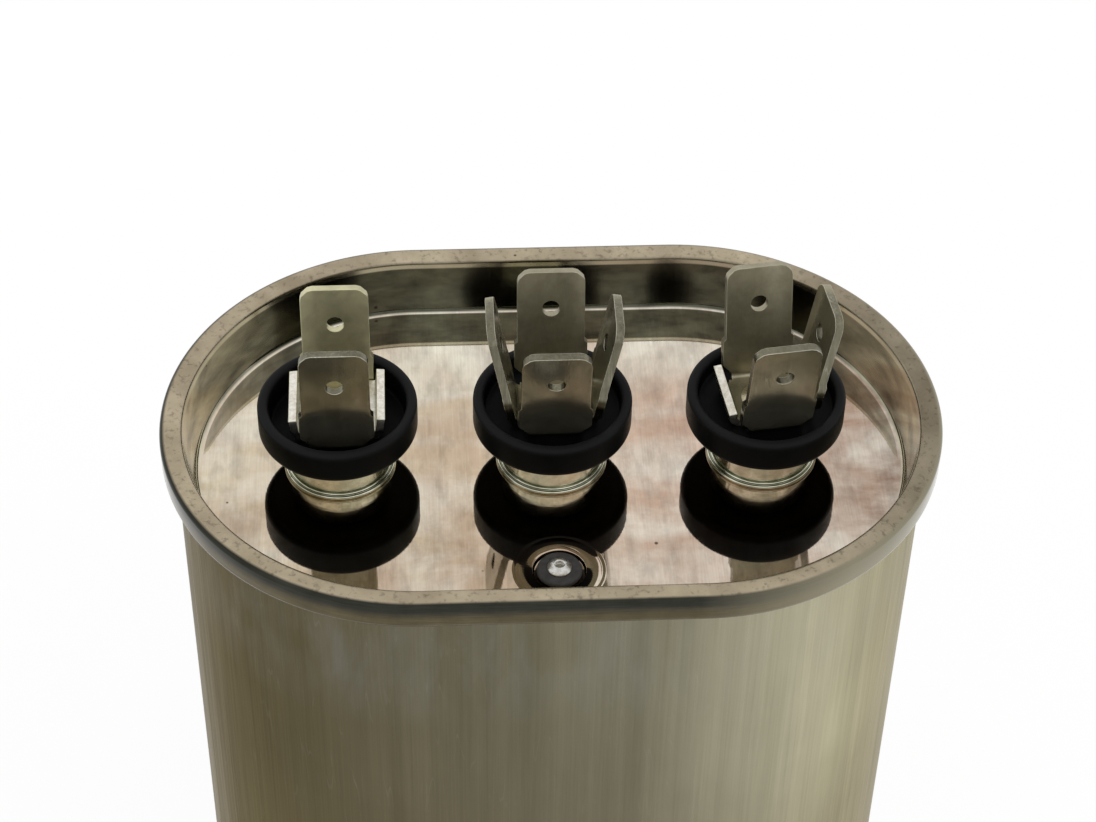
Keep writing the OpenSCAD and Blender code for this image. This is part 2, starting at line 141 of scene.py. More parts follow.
# %% [markdown]
# ## One way to carry a section
# Almost everything here is a section carried along a path: the can and lid go round an
# oval, the cups and ferrules go round their own axis. A modifier such as Screw could turn
# a section, but it can't follow an oval, so one small helper lays rings of points and
# joins them with faces. A circle is then just an oval with no straight run.

# %% Helper: an arc in a section
def arc(centre, radius, start, end, steps=10):
    """Points of an arc in a section, angles in degrees, both ends included."""
    turns = [math.radians(start + (end - start) * i / steps) for i in range(steps + 1)]
    return [(centre[0] + radius * math.cos(t), centre[1] + radius * math.sin(t)) for t in turns]


print("points of a quarter arc:", len(arc((0, 0), can_corner_r, -90, 0)))


# %% Helper: the stations of the oval
def stations(straight_half, turn_steps, run_steps):
    """Centres and directions of the section on its way round the oval."""
    places = []
    for side in (1, -1):
        for i in range(turn_steps):
            t = math.pi * (i / turn_steps - 0.5) + (math.pi if side < 0 else 0)
            out = Vector((math.cos(t), math.sin(t), 0))
            places.append((Vector((side * straight_half, 0, 0)), out))
        for i in range(run_steps):
            x = side * straight_half * (1 - 2 * i / run_steps)
            places.append((Vector((x, 0, 0)), Vector((0, side, 0))))
    return places


print("stations of the can:", len(stations(half_straight, 72, 30)))


# %% Helper: carry a section round
def carry_round(bm, section, closed=True, straight_half=0.0, turn_steps=64, run_steps=0):
    """Carries a section of (radius, height) points round; returns its rings of vertices."""
    rings = [
        [bm.verts.new(centre + out * r + Vector((0, 0, z))) for r, z in section]
        for centre, out in stations(straight_half, turn_steps, run_steps)
    ]
    last = len(section) if closed else len(section) - 1
    for ring, following in zip(rings, rings[1:] + rings[:1]):
        for i in range(last):
            j = (i + 1) % len(section)
            bm.faces.new((ring[i], following[i], following[j], ring[j])).smooth = True
    return rings


print("helper: carry_round")


# %% Helper: turn a drawn mesh into a piece
def piece_from(bm, name, materials, node=None, sharp=35):
    """Makes a piece that rides on the part; node is the CAD piece it stands for."""
    bmesh.ops.recalc_face_normals(bm, faces=bm.faces)
    for edge in bm.edges:
        if len(edge.link_faces) == 2 and edge.calc_face_angle(0) > math.radians(sharp):
            edge.smooth = False
    mesh = bpy.data.meshes.new(name)
    bm.to_mesh(mesh)
    bm.free()
    for material in materials:
        mesh.materials.append(material)
    piece = bpy.data.objects.new(name, mesh)
    bpy.context.scene.collection.objects.link(piece)
    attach(piece, "root")
    if node:
        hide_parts(node)
    print(name, "faces:", len(mesh.polygons))
    return piece


print("helper: piece_from")

# %% [markdown]
# ## Shader building blocks
# A finish is a small graph of nodes. Placing nodes by hand in code is wordy, so one helper
# places a node and plugs it in. Effects that several finishes share are node groups: a
# group is drawn once and then used with each finish's own values, like a stencil.

# %% Helper: place a node and plug it
def put(tree, kind, plugs=None, **settings):
    """Adds a node; plugs maps an input's name or number to a value or another's socket."""
    made = tree.nodes.new("ShaderNode" + kind)
    for key, value in settings.items():
        setattr(made, key, value)
    for key, value in (plugs or {}).items():
        if isinstance(value, bpy.types.NodeSocket):
            tree.links.new(value, made.inputs[key])
        else:
            made.inputs[key].default_value = value
    return made


print("helper: put")


# %% Helpers: make a group and use it
def new_group(name, inputs, outputs):
    """An empty shader group with named sockets; inputs are (name, kind, first value)."""
    tree = bpy.data.node_groups.new(name, "ShaderNodeTree")
    for label, kind, value in inputs:
        kind = "NodeSocket" + kind
        tree.interface.new_socket(label, in_out="INPUT", socket_type=kind).default_value = value
    for label, kind in outputs:
        tree.interface.new_socket(label, in_out="OUTPUT", socket_type="NodeSocket" + kind)
    enter, leave = tree.nodes.new("NodeGroupInput"), tree.nodes.new("NodeGroupOutput")
    return tree, enter.outputs, leave.inputs


def use(tree, group, **plugs):
    """Places a group in a finish and returns its outputs."""
    made = tree.nodes.new("ShaderNodeGroup")
    made.node_tree = group
    for key, value in plugs.items():
        socket = made.inputs[key.replace("_", " ")]
        if isinstance(value, bpy.types.NodeSocket):
            tree.links.new(value, socket)
        else:
            socket.default_value = value
    return made.outputs


print("helpers: new_group and use")


# %% Helpers: sums with values
def sums(tree, operation, first, second=None):
    """One sum of two values; some operations need only the first."""
    values = {0: first} if second is None else {0: first, 1: second}
    return put(tree, "Math", values, operation=operation).outputs[0]


def times(tree, first, second):
    """The product of two values."""
    return sums(tree, "MULTIPLY", first, second)


def rescale(tree, value, low, high, to_low=0.0, to_high=1.0):
    """Stretches a range of values over another one, with the ends held."""
    ends = {"From Min": low, "From Max": high, "To Min": to_low, "To Max": to_high}
    return put(tree, "MapRange", {"Value": value, **ends}).outputs["Result"]


print("helpers: sums, times and rescale")


# %% Helpers: sums with colours
def blend_colours(tree, mask, first, second, share=1.0):
    """Colour that goes from first to second as the mask goes from 0 to 1, or to its share."""
    if share < 1.0:
        mask = times(tree, mask, share)
    first, second = [(*end, 1) if isinstance(end, tuple) else end for end in (first, second)]
    return put(tree, "Mix", {0: mask, 6: first, 7: second}, data_type="RGBA").outputs[2]


def shade(tree, colour, mask, darkest, brightest):
    """Darkens or brightens a colour as the mask goes from 0 to 1, keeping its hue."""
    factor = rescale(tree, mask, 0.0, 1.0, darkest, brightest)
    return put(tree, "VectorMath", {0: colour, "Scale": factor}, operation="SCALE").outputs[0]


print("helpers: blend_colours and shade")


# %% Helpers: read a stretched noise
def stretch(tree, place, by):
    """A place with its three directions stretched by their own factors."""
    return put(tree, "VectorMath", {0: place, 1: by}, operation="MULTIPLY").outputs[0]


def noise(tree, place, seed, **settings):
    """A seeded noise, read at a place that is already stretched to size."""
    plugs = {"Vector": place, "W": seed, "Scale": 1.0, **settings}
    return put(tree, "TexNoise", plugs, noise_dimensions="4D").outputs["Fac"]


print("helpers: stretch and noise")

# %% [markdown]
# ### Grain
# Rolled and drawn sheet has fine parallel lines. A noise texture squeezed in one direction
# gives them: the "Lines" input says how many lines there are per metre along X, Y and Z, so
# a small number along one axis makes long streaks that way. A broader copy of the same
# lines keeps them from looking even. The output is a height for the bump and a mask for
# colour and roughness.

# %% Group: grain
broader = 0.13
fine_share = 0.7

grain_group, g, out = new_group(
    "grain",
    [("Lines", "Vector", (4000, 4000, 100)), ("Seed", "Float", 0.0)],
    [("Height", "Float"), ("Mask", "Float")],
)
tree = grain_group
place = put(tree, "TexCoord").outputs["Object"]
drawn = stretch(tree, place, g["Lines"])
wide = put(tree, "VectorMath", {0: drawn, "Scale": broader}, operation="SCALE").outputs[0]
fine = noise(tree, drawn, g["Seed"], Detail=3.0, Roughness=0.7)
broad = noise(tree, wide, g["Seed"], Detail=2.0)
height = sums(tree, "ADD", times(tree, fine, fine_share), times(tree, broad, 1 - fine_share))
tree.links.new(height, out["Height"])
uneven = times(tree, fine, sums(tree, "ADD", broad, 0.5))
tree.links.new(rescale(tree, uneven, 0.3, 0.7), out["Mask"])
print("group:", grain_group.name)

# %% [markdown]
# ### Clouds
# Handling, heat and damp leave soft patches on bare metal. This group is a noise with its
# ends clipped: "Cover" says how much of the surface the patches take, "Soft" how softly
# they fade.

# %% Group: clouds
cloud_group, g, out = new_group(
    "clouds",
    [("Scale", "Vector", (60, 60, 60)), ("Cover", "Float", 0.5),
     ("Soft", "Float", 0.2), ("Seed", "Float", 0.0)],
    [("Mask", "Float")],
)
tree = cloud_group
place = stretch(tree, put(tree, "TexCoord").outputs["Object"], g["Scale"])
cloudy = noise(tree, place, g["Seed"], Detail=5.0, Roughness=0.6, Distortion=0.3)
edge = sums(tree, "SUBTRACT", 1.0, g["Cover"])
low_end = sums(tree, "SUBTRACT", edge, g["Soft"])
high_end = sums(tree, "ADD", edge, g["Soft"])
spread = rescale(tree, cloudy, 0.25, 0.75)
tree.links.new(rescale(tree, spread, low_end, high_end), out["Mask"])
print("group:", cloud_group.name)

# %% [markdown]
# ### Specks
# Tiny dots of dirt and pinholes in the plating lie at random. A Voronoi texture has one
# point per cell: the mask is 1 close to that point, and only cells whose random colour is
# high enough get a dot at all. A second random number gives each dot its own size.

# %% Group: specks
dot_fade = 0.04

speck_group, g, out = new_group(
    "specks",
    [("Scale", "Float", 400.0), ("Amount", "Float", 0.2), ("Size", "Float", 0.15)],
    [("Mask", "Float")],
)
tree = speck_group
place = put(tree, "TexCoord").outputs["Object"]
cells = put(tree, "TexVoronoi", {"Vector": place, "Scale": g["Scale"]})
chances = put(tree, "SeparateColor", {0: cells.outputs["Color"]}).outputs
chosen = sums(tree, "GREATER_THAN", chances[0], sums(tree, "SUBTRACT", 1.0, g["Amount"]))
size = times(tree, g["Size"], chances[1])
dot = rescale(tree, sums(tree, "SUBTRACT", size, cells.outputs["Distance"]), 0.0, dot_fade)
tree.links.new(times(tree, dot, chosen), out["Mask"])
print("group:", speck_group.name)

# %% [markdown]
# ### Scratches
# Sliding a connector on and off, or sliding the part along a shelf, cuts fine lines. They
# are thin bands taken out of a stretched and slightly bent noise: wherever the noise
# crosses one value a line shows, and a second noise breaks the lines up.

# %% Group: scratches
line_width = 0.012
break_scale = 260.0

scratch_group, g, out = new_group(
    "scratches",
    [("Lines", "Vector", (900, 60, 60)), ("Turn", "Float", 0.0),
     ("Amount", "Float", 0.5), ("Seed", "Float", 0.0)],
    [("Mask", "Float")],
)
tree = scratch_group
place = put(tree, "TexCoord").outputs["Object"]
turn = put(tree, "CombineXYZ", {0: g["Turn"], 1: g["Turn"], 2: g["Turn"]}).outputs[0]
turned = put(tree, "VectorRotate", {"Vector": place, "Rotation": turn},
             rotation_type="EULER_XYZ").outputs[0]
bent = noise(tree, stretch(tree, turned, g["Lines"]), g["Seed"], Detail=1.0, Distortion=0.2)
offset = sums(tree, "ABSOLUTE", sums(tree, "SUBTRACT", bent, 0.5))
line = rescale(tree, offset, 0.0, line_width, 1.0, 0.0)
breaks = noise(tree, place, g["Seed"], Scale=break_scale, Detail=2.0)
gate_start = sums(tree, "SUBTRACT", 0.75, times(tree, g["Amount"], 0.5))
gate = rescale(tree, breaks, gate_start, 0.8)
tree.links.new(times(tree, line, gate), out["Mask"])
print("group:", scratch_group.name)

# %% [markdown]
# ### Height bands
# Some wear belongs to one height on the part, such as scuffs just under the seam. This
# group fades a mask in and out between two heights.

# %% Group: band
band_group, g, out = new_group(
    "band",
    [("Bottom", "Float", 0.0), ("Top", "Float", 0.1), ("Fade", "Float", 0.001)],
    [("Mask", "Float")],
)
tree = band_group
height = put(tree, "SeparateXYZ", {0: put(tree, "TexCoord").outputs["Object"]}).outputs["Z"]
fades = []
for upper_value, lower_value in ((height, g["Bottom"]), (g["Top"], height)):
    inside = sums(tree, "DIVIDE", sums(tree, "SUBTRACT", upper_value, lower_value), g["Fade"])
    fades.append(rescale(tree, inside, -0.5, 0.5))
tree.links.new(times(tree, *fades), out["Mask"])
print("group:", band_group.name)

# %% [markdown]
# ### Reach
# Some finishes belong to one ring of the oval, such as the seam's outer face or the wall
# of the well. This group measures how far a point lies from the oval's straight middle
# line, which is the radius that the pieces were drawn with. It also gives the point's
# place across the row of terminals, towards the back and in height.

# %% Group: reach
reach_group, g, out = new_group(
    "reach",
    [("Half Straight", "Float", half_straight)],
    [("Reach", "Float"), ("Across", "Float"), ("Back", "Float"), ("Height", "Float")],
)
tree = reach_group
parts = put(tree, "SeparateXYZ", {0: put(tree, "TexCoord").outputs["Object"]}).outputs
aside = sums(tree, "ABSOLUTE", parts["X"])
past_end = sums(tree, "MAXIMUM", sums(tree, "SUBTRACT", aside, g["Half Straight"]), 0.0)
square = sums(tree, "ADD", times(tree, past_end, past_end), times(tree, parts["Y"], parts["Y"]))
tree.links.new(sums(tree, "SQRT", square), out["Reach"])
for label, axis in (("Across", "X"), ("Back", "Y"), ("Height", "Z")):
    tree.links.new(parts[axis], out[label])
print("group:", reach_group.name)

# %% [markdown]
# ## A blank finish
# Each finish below starts from the same blank: a new material with its Principled shader.
# Values that are the same all over the surface are set on the shader itself, so that an
# export keeps them, and only what varies is plugged in.

# %% Helpers: start a finish, plug it and raise its surface
def start_finish(name, metallic=0.0, **constants):
    """A new material with its tree and shader; constants are set on the shader's sockets."""
    material = bpy.data.materials.new(name)
    material.use_nodes = True
    tree = material.node_tree
    shader = tree.nodes["Principled BSDF"]
    shader.inputs["Metallic"].default_value = metallic
    for key, value in constants.items():
        shader.inputs[key.replace("_", " ")].default_value = value
    return material, tree, shader


def plug(tree, socket, shader, name):
    """Plugs a colour or value into the shader's input of that name."""
    tree.links.new(socket, shader.inputs[name])


def add_bump(tree, shader, height, strength, distance):
    """Raises the surface's normal by a height in the range 0 to 1 over the distance."""
    bump = put(tree, "Bump", {"Height": height, "Strength": strength, "Distance": distance})
    tree.links.new(bump.outputs["Normal"], shader.inputs["Normal"])


print("helpers: start_finish, plug and add_bump")

# %% [markdown]
# ## Drawn aluminium of the can
# The can is deep drawn from soft aluminium, and the punch leaves long upright lines. Years
# of handling and a film of oil turn it warm grey. Its tone from side to side is painted
# reflection: painted shade makes it olive to the left, painted light makes it paler to the
# right, and painted shade dims it again at the right edge. It is also browner low down. Long
# streaks and soft patches vary that tone, and there are faint bluish rubs under the seam,
# thin runs and specks of dirt. Each of these is a mask that mixes one more named colour into
# the tone.

# %% Finish: can_aluminium, its tone from side to side
# Painted shade (the olive) and painted light (the pale grey) set the tone from side to side.
shaded_olive = (0.062, 0.048, 0.018)
warm_grey = (0.196, 0.180, 0.122)
painted_light_grey = (0.49, 0.465, 0.33)
low_brown = (0.14, 0.115, 0.062)
# Share of the painted light kept at the right edge, where painted shade dims the can.
edge_shade_share = 0.62                                       # of the pale tone left at the edge

can_metal, tree, shader = start_finish(
    "can_aluminium", metallic=1.0, Anisotropic=0.35, Specular_Tint=(0.82, 0.76, 0.64, 1))
spot = use(tree, reach_group, Half_Straight=half_straight)
# Painted shade to the left, painted light to the right, painted shade at the right edge.
olive = rescale(tree, spot["Across"], -36 * mm, 4 * mm)
pale = rescale(tree, spot["Across"], 7 * mm, 23 * mm)
edge_shade = rescale(tree, spot["Across"], 25 * mm, 34 * mm, 1.0, edge_shade_share)
# Browner towards the bottom.
low = use(tree, band_group, Bottom=-20 * mm, Top=seam_top - 34 * mm, Fade=14 * mm)["Mask"]
warm = blend_colours(tree, olive, shaded_olive, warm_grey)
warm = blend_colours(tree, times(tree, pale, edge_shade), warm, painted_light_grey)
warm = blend_colours(tree, low, warm, low_brown, share=0.25)
print("tone of:", can_metal.name)

# %% Finish: can_aluminium, its streaks, rubs, runs and dirt
rub_blue = (0.36, 0.38, 0.40)
run_grey = (0.42, 0.41, 0.36)
dirt_black = (0.01, 0.01, 0.01)

lines = use(tree, grain_group, Lines=(5200, 5200, 45), Seed=2.0)
streaks = use(tree, cloud_group, Scale=(420, 420, 9), Cover=0.5, Soft=0.4, Seed=4.0)["Mask"]
patches = use(tree, cloud_group, Scale=(55, 55, 22), Cover=0.5, Soft=0.5, Seed=9.0)["Mask"]
warm = shade(tree, warm, streaks, 0.90, 1.10)
warm = shade(tree, warm, patches, 1.14, 0.80)
warm = shade(tree, warm, lines["Mask"], 1.03, 0.95)

zone = {"Bottom": seam_top - 15 * mm, "Top": seam_top - 3.2 * mm, "Fade": 7 * mm}
rub_zone = use(tree, band_group, **zone)["Mask"]
rubs = use(tree, cloud_group, Scale=(230, 230, 60), Cover=0.42, Soft=0.3, Seed=12.0)["Mask"]
runs = use(tree, scratch_group, Lines=(900, 900, 60), Turn=0.02, Amount=0.55, Seed=44.0)["Mask"]
dirt = use(tree, speck_group, Scale=170.0, Amount=0.06, Size=0.06)["Mask"]
warm = blend_colours(tree, times(tree, rub_zone, rubs), warm, rub_blue, share=0.16)
warm = blend_colours(tree, runs, warm, run_grey, share=0.16)
warm = blend_colours(tree, dirt, warm, dirt_black, share=0.9)
plug(tree, warm, shader, "Base Color")
print("wear of:", can_metal.name)

# %% Finish: can_aluminium, its gloss and drawing lines
plug(tree, rescale(tree, lines["Mask"], 0.0, 1.0, 0.26, 0.42), shader, "Roughness")
add_bump(tree, shader, lines["Height"], 0.3, 0.05 * mm)
around = put(tree, "Tangent", direction_type="RADIAL", axis="Z").outputs["Tangent"]
plug(tree, around, shader, "Tangent")
print("finish:", can_metal.name)

# %% [markdown]
# ## Tinplate of the lid
# The lid is tin on thin steel: nearly a mirror, with faint rolling lines from front to
# back. The panel is paler where it has been wiped and warmer to the right, and a painted
# reflection makes it paler to the back and dark at the far right. The wall of the well gets
# a painted reflection too: light at the front, dark to the back, with random light and dark
# streaks. The rolled seam is duller and browner, because the seaming rollers smear the tin
# and dirt collects there; a painted highlight runs along its inner lip, and another lightens
# its outer face to the right. The mirror itself comes from a low roughness, so the cups show
# in it as they do in a real lid. The finish is built up one place at a time, and the reach
# and height of a point say where it is.

# %% Finish: tinplate, the panel
tin_warm = (0.63, 0.525, 0.365)
tin_pink = (0.56, 0.375, 0.285)
tin_brown = (0.36, 0.27, 0.195)
# The next two tones are painted reflection: pale for the back, dark for the far right.
painted_reflection_pale = (0.80, 0.77, 0.65)
painted_reflection_dark = (0.17, 0.115, 0.085)
tin_wiped = (0.84, 0.82, 0.72)
tin_dull = (0.42, 0.285, 0.20)

tinplate, tree, shader = start_finish("tinplate", metallic=1.0)
spot = use(tree, reach_group, Half_Straight=half_straight)
to_right = rescale(tree, spot["Across"], -14 * mm, 14 * mm)
far_right = rescale(tree, spot["Across"], 20 * mm, 33 * mm)
forward = rescale(tree, spot["Back"], 2 * mm, -18 * mm)
backward = rescale(tree, spot["Back"], 6 * mm, 13 * mm)
panel = blend_colours(tree, to_right, tin_warm, tin_pink)
panel = blend_colours(tree, forward, panel, tin_brown, share=0.42)
# Painted reflection: paler to the back, dark at the far right.
panel = blend_colours(tree, backward, panel, painted_reflection_pale, share=0.7)
panel = blend_colours(tree, far_right, panel, painted_reflection_dark, share=0.75)

lines = use(tree, grain_group, Lines=(5200, 160, 160), Seed=1.0)
wiped = use(tree, cloud_group, Scale=(90, 190, 60), Cover=0.5, Soft=0.22, Seed=3.0)
dull = use(tree, cloud_group, Scale=(150, 110, 120), Cover=0.45, Soft=0.28, Seed=5.0)
handled = use(tree, cloud_group, Scale=(620, 240, 300), Cover=0.38, Soft=0.2, Seed=17.0)
panel = blend_colours(tree, wiped["Mask"], panel, tin_wiped, share=0.62)
panel = blend_colours(tree, dull["Mask"], panel, tin_dull, share=0.55)
panel = shade(tree, panel, handled["Mask"], 1.04, 0.80)
panel = shade(tree, panel, lines["Mask"], 1.04, 0.88)
print("panel of:", tinplate.name)

# %% Finish: tinplate, the wall of the well
# The wall's tone is painted reflection: light at the front, dark to the back, with random painted
# reflection streaks.
wall_reflection_light = (0.44, 0.41, 0.30)
wall_reflection_dark = (0.085, 0.085, 0.062)

wall_start, wall_full = panel_top + 0.03 * mm, panel_top + 0.16 * mm
above_panel = rescale(tree, spot["Height"], wall_start, wall_full)
to_back = rescale(tree, spot["Back"], 0 * mm, 17 * mm)
reflection_streaks = use(tree, cloud_group, Scale=(150, 150, 420), Cover=0.45, Soft=0.35, Seed=19.0)["Mask"]
wall_reflection_tone = blend_colours(tree, to_back, wall_reflection_light, wall_reflection_dark)
wall_reflection_tone = shade(tree, wall_reflection_tone, reflection_streaks, 1.6, 0.40)
metal = blend_colours(tree, above_panel, panel, wall_reflection_tone)
print("wall of:", tinplate.name)

# %% Finish: tinplate, the top of the seam and its inner lip
top_warm = (0.42, 0.36, 0.25)
top_smeared = (0.56, 0.475, 0.345)
top_stained = (0.17, 0.13, 0.085)
# Painted highlight for the seam's inner lip:
lip_highlight = (0.62, 0.59, 0.47)

smear = use(tree, cloud_group, Scale=(420, 420, 420), Cover=0.5, Soft=0.4, Seed=8.0)["Mask"]
stain = use(tree, cloud_group, Scale=(130, 130, 130), Cover=0.5, Soft=0.35, Seed=14.0)["Mask"]
fine_dirt = use(tree, cloud_group, Scale=(1900, 1900, 1900), Cover=0.3, Soft=0.12, Seed=15.0)
top_tone = blend_colours(tree, smear, top_warm, top_smeared)
top_tone = blend_colours(tree, stain, top_tone, top_stained, share=0.55)
top_tone = shade(tree, top_tone, fine_dirt["Mask"], 1.0, 0.62)
right_end = rescale(tree, spot["Across"], 20 * mm, 34 * mm)
top_tone = shade(tree, top_tone, right_end, 1.0, 0.55)
on_top = rescale(tree, spot["Height"], seam_top - 0.42 * mm, seam_top - 0.10 * mm)
metal = blend_colours(tree, on_top, metal, top_tone)

# A painted highlight runs along the seam's inner lip.
lip_highlight_zone = {"Bottom": seam_top - 0.85 * mm, "Top": seam_top - 0.42 * mm, "Fade": 0.15 * mm}
lip = use(tree, band_group, **lip_highlight_zone)["Mask"]
metal = blend_colours(tree, lip, metal, lip_highlight, share=0.75)
print("seam top of:", tinplate.name)

# %% Finish: tinplate, the seam's outer face
face_grey = (0.034, 0.034, 0.028)
face_brown = (0.100, 0.083, 0.047)
# Painted highlight for the seam's outer face to the right:
face_highlight = (0.33, 0.30, 0.21)
pinhole = (0.03, 0.02, 0.015)

rolled = use(tree, grain_group, Lines=(260, 260, 7000), Seed=6.0)
down_face = rescale(tree, spot["Height"], seam_top - 0.8 * mm, seam_top - 1.9 * mm)
face_tone = blend_colours(tree, down_face, face_grey, face_brown)
face_tone = shade(tree, face_tone, rolled["Mask"], 0.80, 1.25)
face_tone = shade(tree, face_tone, smear, 0.85, 1.15)
# A painted highlight lightens the seam's outer face to the right.
face_highlight_right = rescale(tree, spot["Across"], 12 * mm, 26 * mm)
face_tone = blend_colours(tree, face_highlight_right, face_tone, face_highlight, share=0.75)
face_start, face_full = seam_end_r - 0.50 * mm, seam_end_r - 0.26 * mm
outside = rescale(tree, spot["Reach"], face_start, face_full)
metal = blend_colours(tree, outside, metal, face_tone)
dots = use(tree, speck_group, Scale=430.0, Amount=0.36, Size=0.10)["Mask"]
metal = blend_colours(tree, dots, metal, pinhole, share=0.85)
plug(tree, metal, shader, "Base Color")
print("seam face of:", tinplate.name)

# %% Finish: tinplate, its gloss and lines
wall_haze = 0.09
top_haze = 0.20

gloss = rescale(tree, lines["Mask"], 0.0, 1.0, 0.02, 0.05)
gloss = sums(tree, "ADD", gloss, times(tree, above_panel, wall_haze))
gloss = sums(tree, "ADD", gloss, times(tree, on_top, top_haze))
plug(tree, gloss, shader, "Roughness")
on_panel = times(tree, lines["Height"], 0.35)
marks = sums(tree, "ADD", on_panel, times(tree, rolled["Height"], on_top))
add_bump(tree, shader, marks, 0.10, 0.02 * mm)
print("finish:", tinplate.name)

# %% [markdown]
# ## Nickel of the ferrules
# The ferrules are bright nickel with a faint yellow cast, smudged where a thumb has held
# them, with small pits in the plating and turning lines round the neck.

# %% Finish: ferrule_plate
nickel_bright = (0.70, 0.70, 0.58)
nickel_smudged = (0.36, 0.36, 0.26)
pit_brown = (0.06, 0.055, 0.03)

ferrule_metal, tree, shader = start_finish("ferrule_plate", metallic=1.0)
smudge = use(tree, cloud_group, Scale=(420, 420, 420), Cover=0.5, Soft=0.3, Seed=21.0)["Mask"]
pits = use(tree, speck_group, Scale=1500.0, Amount=0.25, Size=0.22)["Mask"]
nickel = blend_colours(tree, smudge, nickel_bright, nickel_smudged)
nickel = blend_colours(tree, pits, nickel, pit_brown, share=0.7)
plug(tree, nickel, shader, "Base Color")
plug(tree, rescale(tree, smudge, 0.0, 1.0, 0.06, 0.20), shader, "Roughness")
turning = use(tree, grain_group, Lines=(300, 300, 5000), Seed=22.0)["Height"]
add_bump(tree, shader, turning, 0.25, 0.04 * mm)
print("finish:", ferrule_metal.name)

# %% [markdown]
# ## Tin on the tabs
# The tabs are tin plated brass: greyer than the lid, rolled lengthwise, with tarnish, dots
# and scratches from connectors. The arms behind the middle are paler, and the one at the
# back of the left terminal carries a painted yellow sheen. One helper makes three related
# finishes: the faces, the darker sides of the sheet, and the broken edges, which are lighter
# with a painted highlight.

# %% Helper: paler arms behind, and a painted sheen
# A painted yellow sheen for the left terminal's back arm, and the paler tone of the arms behind.
painted_yellow_sheen = (0.70, 0.67, 0.43)
behind_pale = (0.44, 0.40, 0.28)


def back_arms_pale_and_sheen(tree, tin):
    """Makes the arms behind the middle paler and paints a yellow sheen on the back arm of the left
    terminal; also returns the mask of the arms behind.
    """
    spot = use(tree, reach_group, Half_Straight=half_straight)
    behind = rescale(tree, spot["Back"], 1.5 * mm, 2.5 * mm)
    at_left = rescale(tree, spot["Across"], -pitch + 5 * mm, -pitch + 4 * mm)
    tin = blend_colours(tree, behind, tin, behind_pale, share=0.6)
    tin = blend_colours(tree, times(tree, at_left, behind), tin, painted_yellow_sheen, share=0.75)
    return tin, behind


print("helper: back_arms_pale_and_sheen")


# %% Helper: a finish of the tabs
spot_brown = (0.03, 0.025, 0.015)
back_haze = 0.14


def tab_finish(name, clean, tarnished, bright, rough, seed, metallic=1.0):
    """Tin plate with rolling lines, tarnish and scratches; rough is its lowest roughness."""
    material, tree, shader = start_finish(name, metallic=metallic)
    tarnish_size, line_size, grime_size = (260, 260, 190), (1500, 1500, 90), (420, 420, 420)
    rolled = use(tree, grain_group, Lines=(3800, 3800, 160), Seed=seed)
    cloudy = use(tree, cloud_group, Scale=tarnish_size, Cover=0.5, Soft=0.4, Seed=seed + 2)["Mask"]
    rubbed = use(tree, scratch_group, Lines=line_size, Turn=0.05, Amount=0.75,
                 Seed=seed + 4)["Mask"]
    grime = use(tree, cloud_group, Scale=grime_size, Cover=0.4, Soft=0.3, Seed=seed + 6)["Mask"]
    spots = use(tree, speck_group, Scale=900.0, Amount=0.12, Size=0.12)["Mask"]
    tin = blend_colours(tree, cloudy, clean, tarnished)
    tin = blend_colours(tree, rolled["Mask"], tin, bright, share=0.25)
    tin = blend_colours(tree, rubbed, tin, bright, share=0.9)
    tin = blend_colours(tree, spots, tin, spot_brown, share=0.7)
    tin, behind = back_arms_pale_and_sheen(tree, tin)
    plug(tree, shade(tree, tin, grime, 1.08, 0.72), shader, "Base Color")
    haze = rescale(tree, cloudy, 0.0, 1.0, rough, rough + 0.10)
    plug(tree, sums(tree, "ADD", haze, times(tree, behind, back_haze)), shader, "Roughness")
    relief = sums(tree, "SUBTRACT", rolled["Height"], times(tree, rubbed, 0.5))
    add_bump(tree, shader, relief, 0.35, 0.03 * mm)
    print("finish:", name)
    return material


print("helper: tab_finish")

# %% Finishes: tab_plate, tab_side and the edges' painted highlight
rub_bright = (0.45, 0.43, 0.34)
tab_metal = tab_finish("tab_plate", (0.25, 0.235, 0.165), (0.14, 0.13, 0.085), rub_bright,
                       0.13, 31.0, metallic=0.88)
tab_side = tab_finish("tab_side", (0.16, 0.15, 0.105), (0.085, 0.078, 0.05), rub_bright,
                      0.22, 33.0)
# The broken edges are lighter: a painted highlight.
tab_edge_highlight = tab_finish("tab_edge_highlight", (0.50, 0.48, 0.38), (0.22, 0.21, 0.15), (0.85, 0.83, 0.74),
                      0.2, 36.0)

# %% [markdown]
# ## Finishes of one grain
# The remaining finishes are simpler: two close colours mixed by one grain, which also sets
# the roughness and the bump. So one helper makes them all: the torn metal where the press
# has cut an arm off, matt rubber, the closing pin and the brass of the rivets.

# %% Helper: a finish of one grain
def grain_finish(name, first, second, lines, rough, metallic=0.0, seed=0.0, relief=0.4,
                 depth=0.05, **constants):
    """Two close colours mixed by grain; rough is the lowest and highest roughness."""
    material, tree, shader = start_finish(name, metallic=metallic, **constants)
    grainy = use(tree, grain_group, Lines=lines, Seed=seed)
    plug(tree, blend_colours(tree, grainy["Mask"], first, second), shader, "Base Color")
    plug(tree, rescale(tree, grainy["Mask"], 0.0, 1.0, *rough), shader, "Roughness")
    add_bump(tree, shader, grainy["Height"], relief, depth * mm)
    print("finish:", name)
    return material


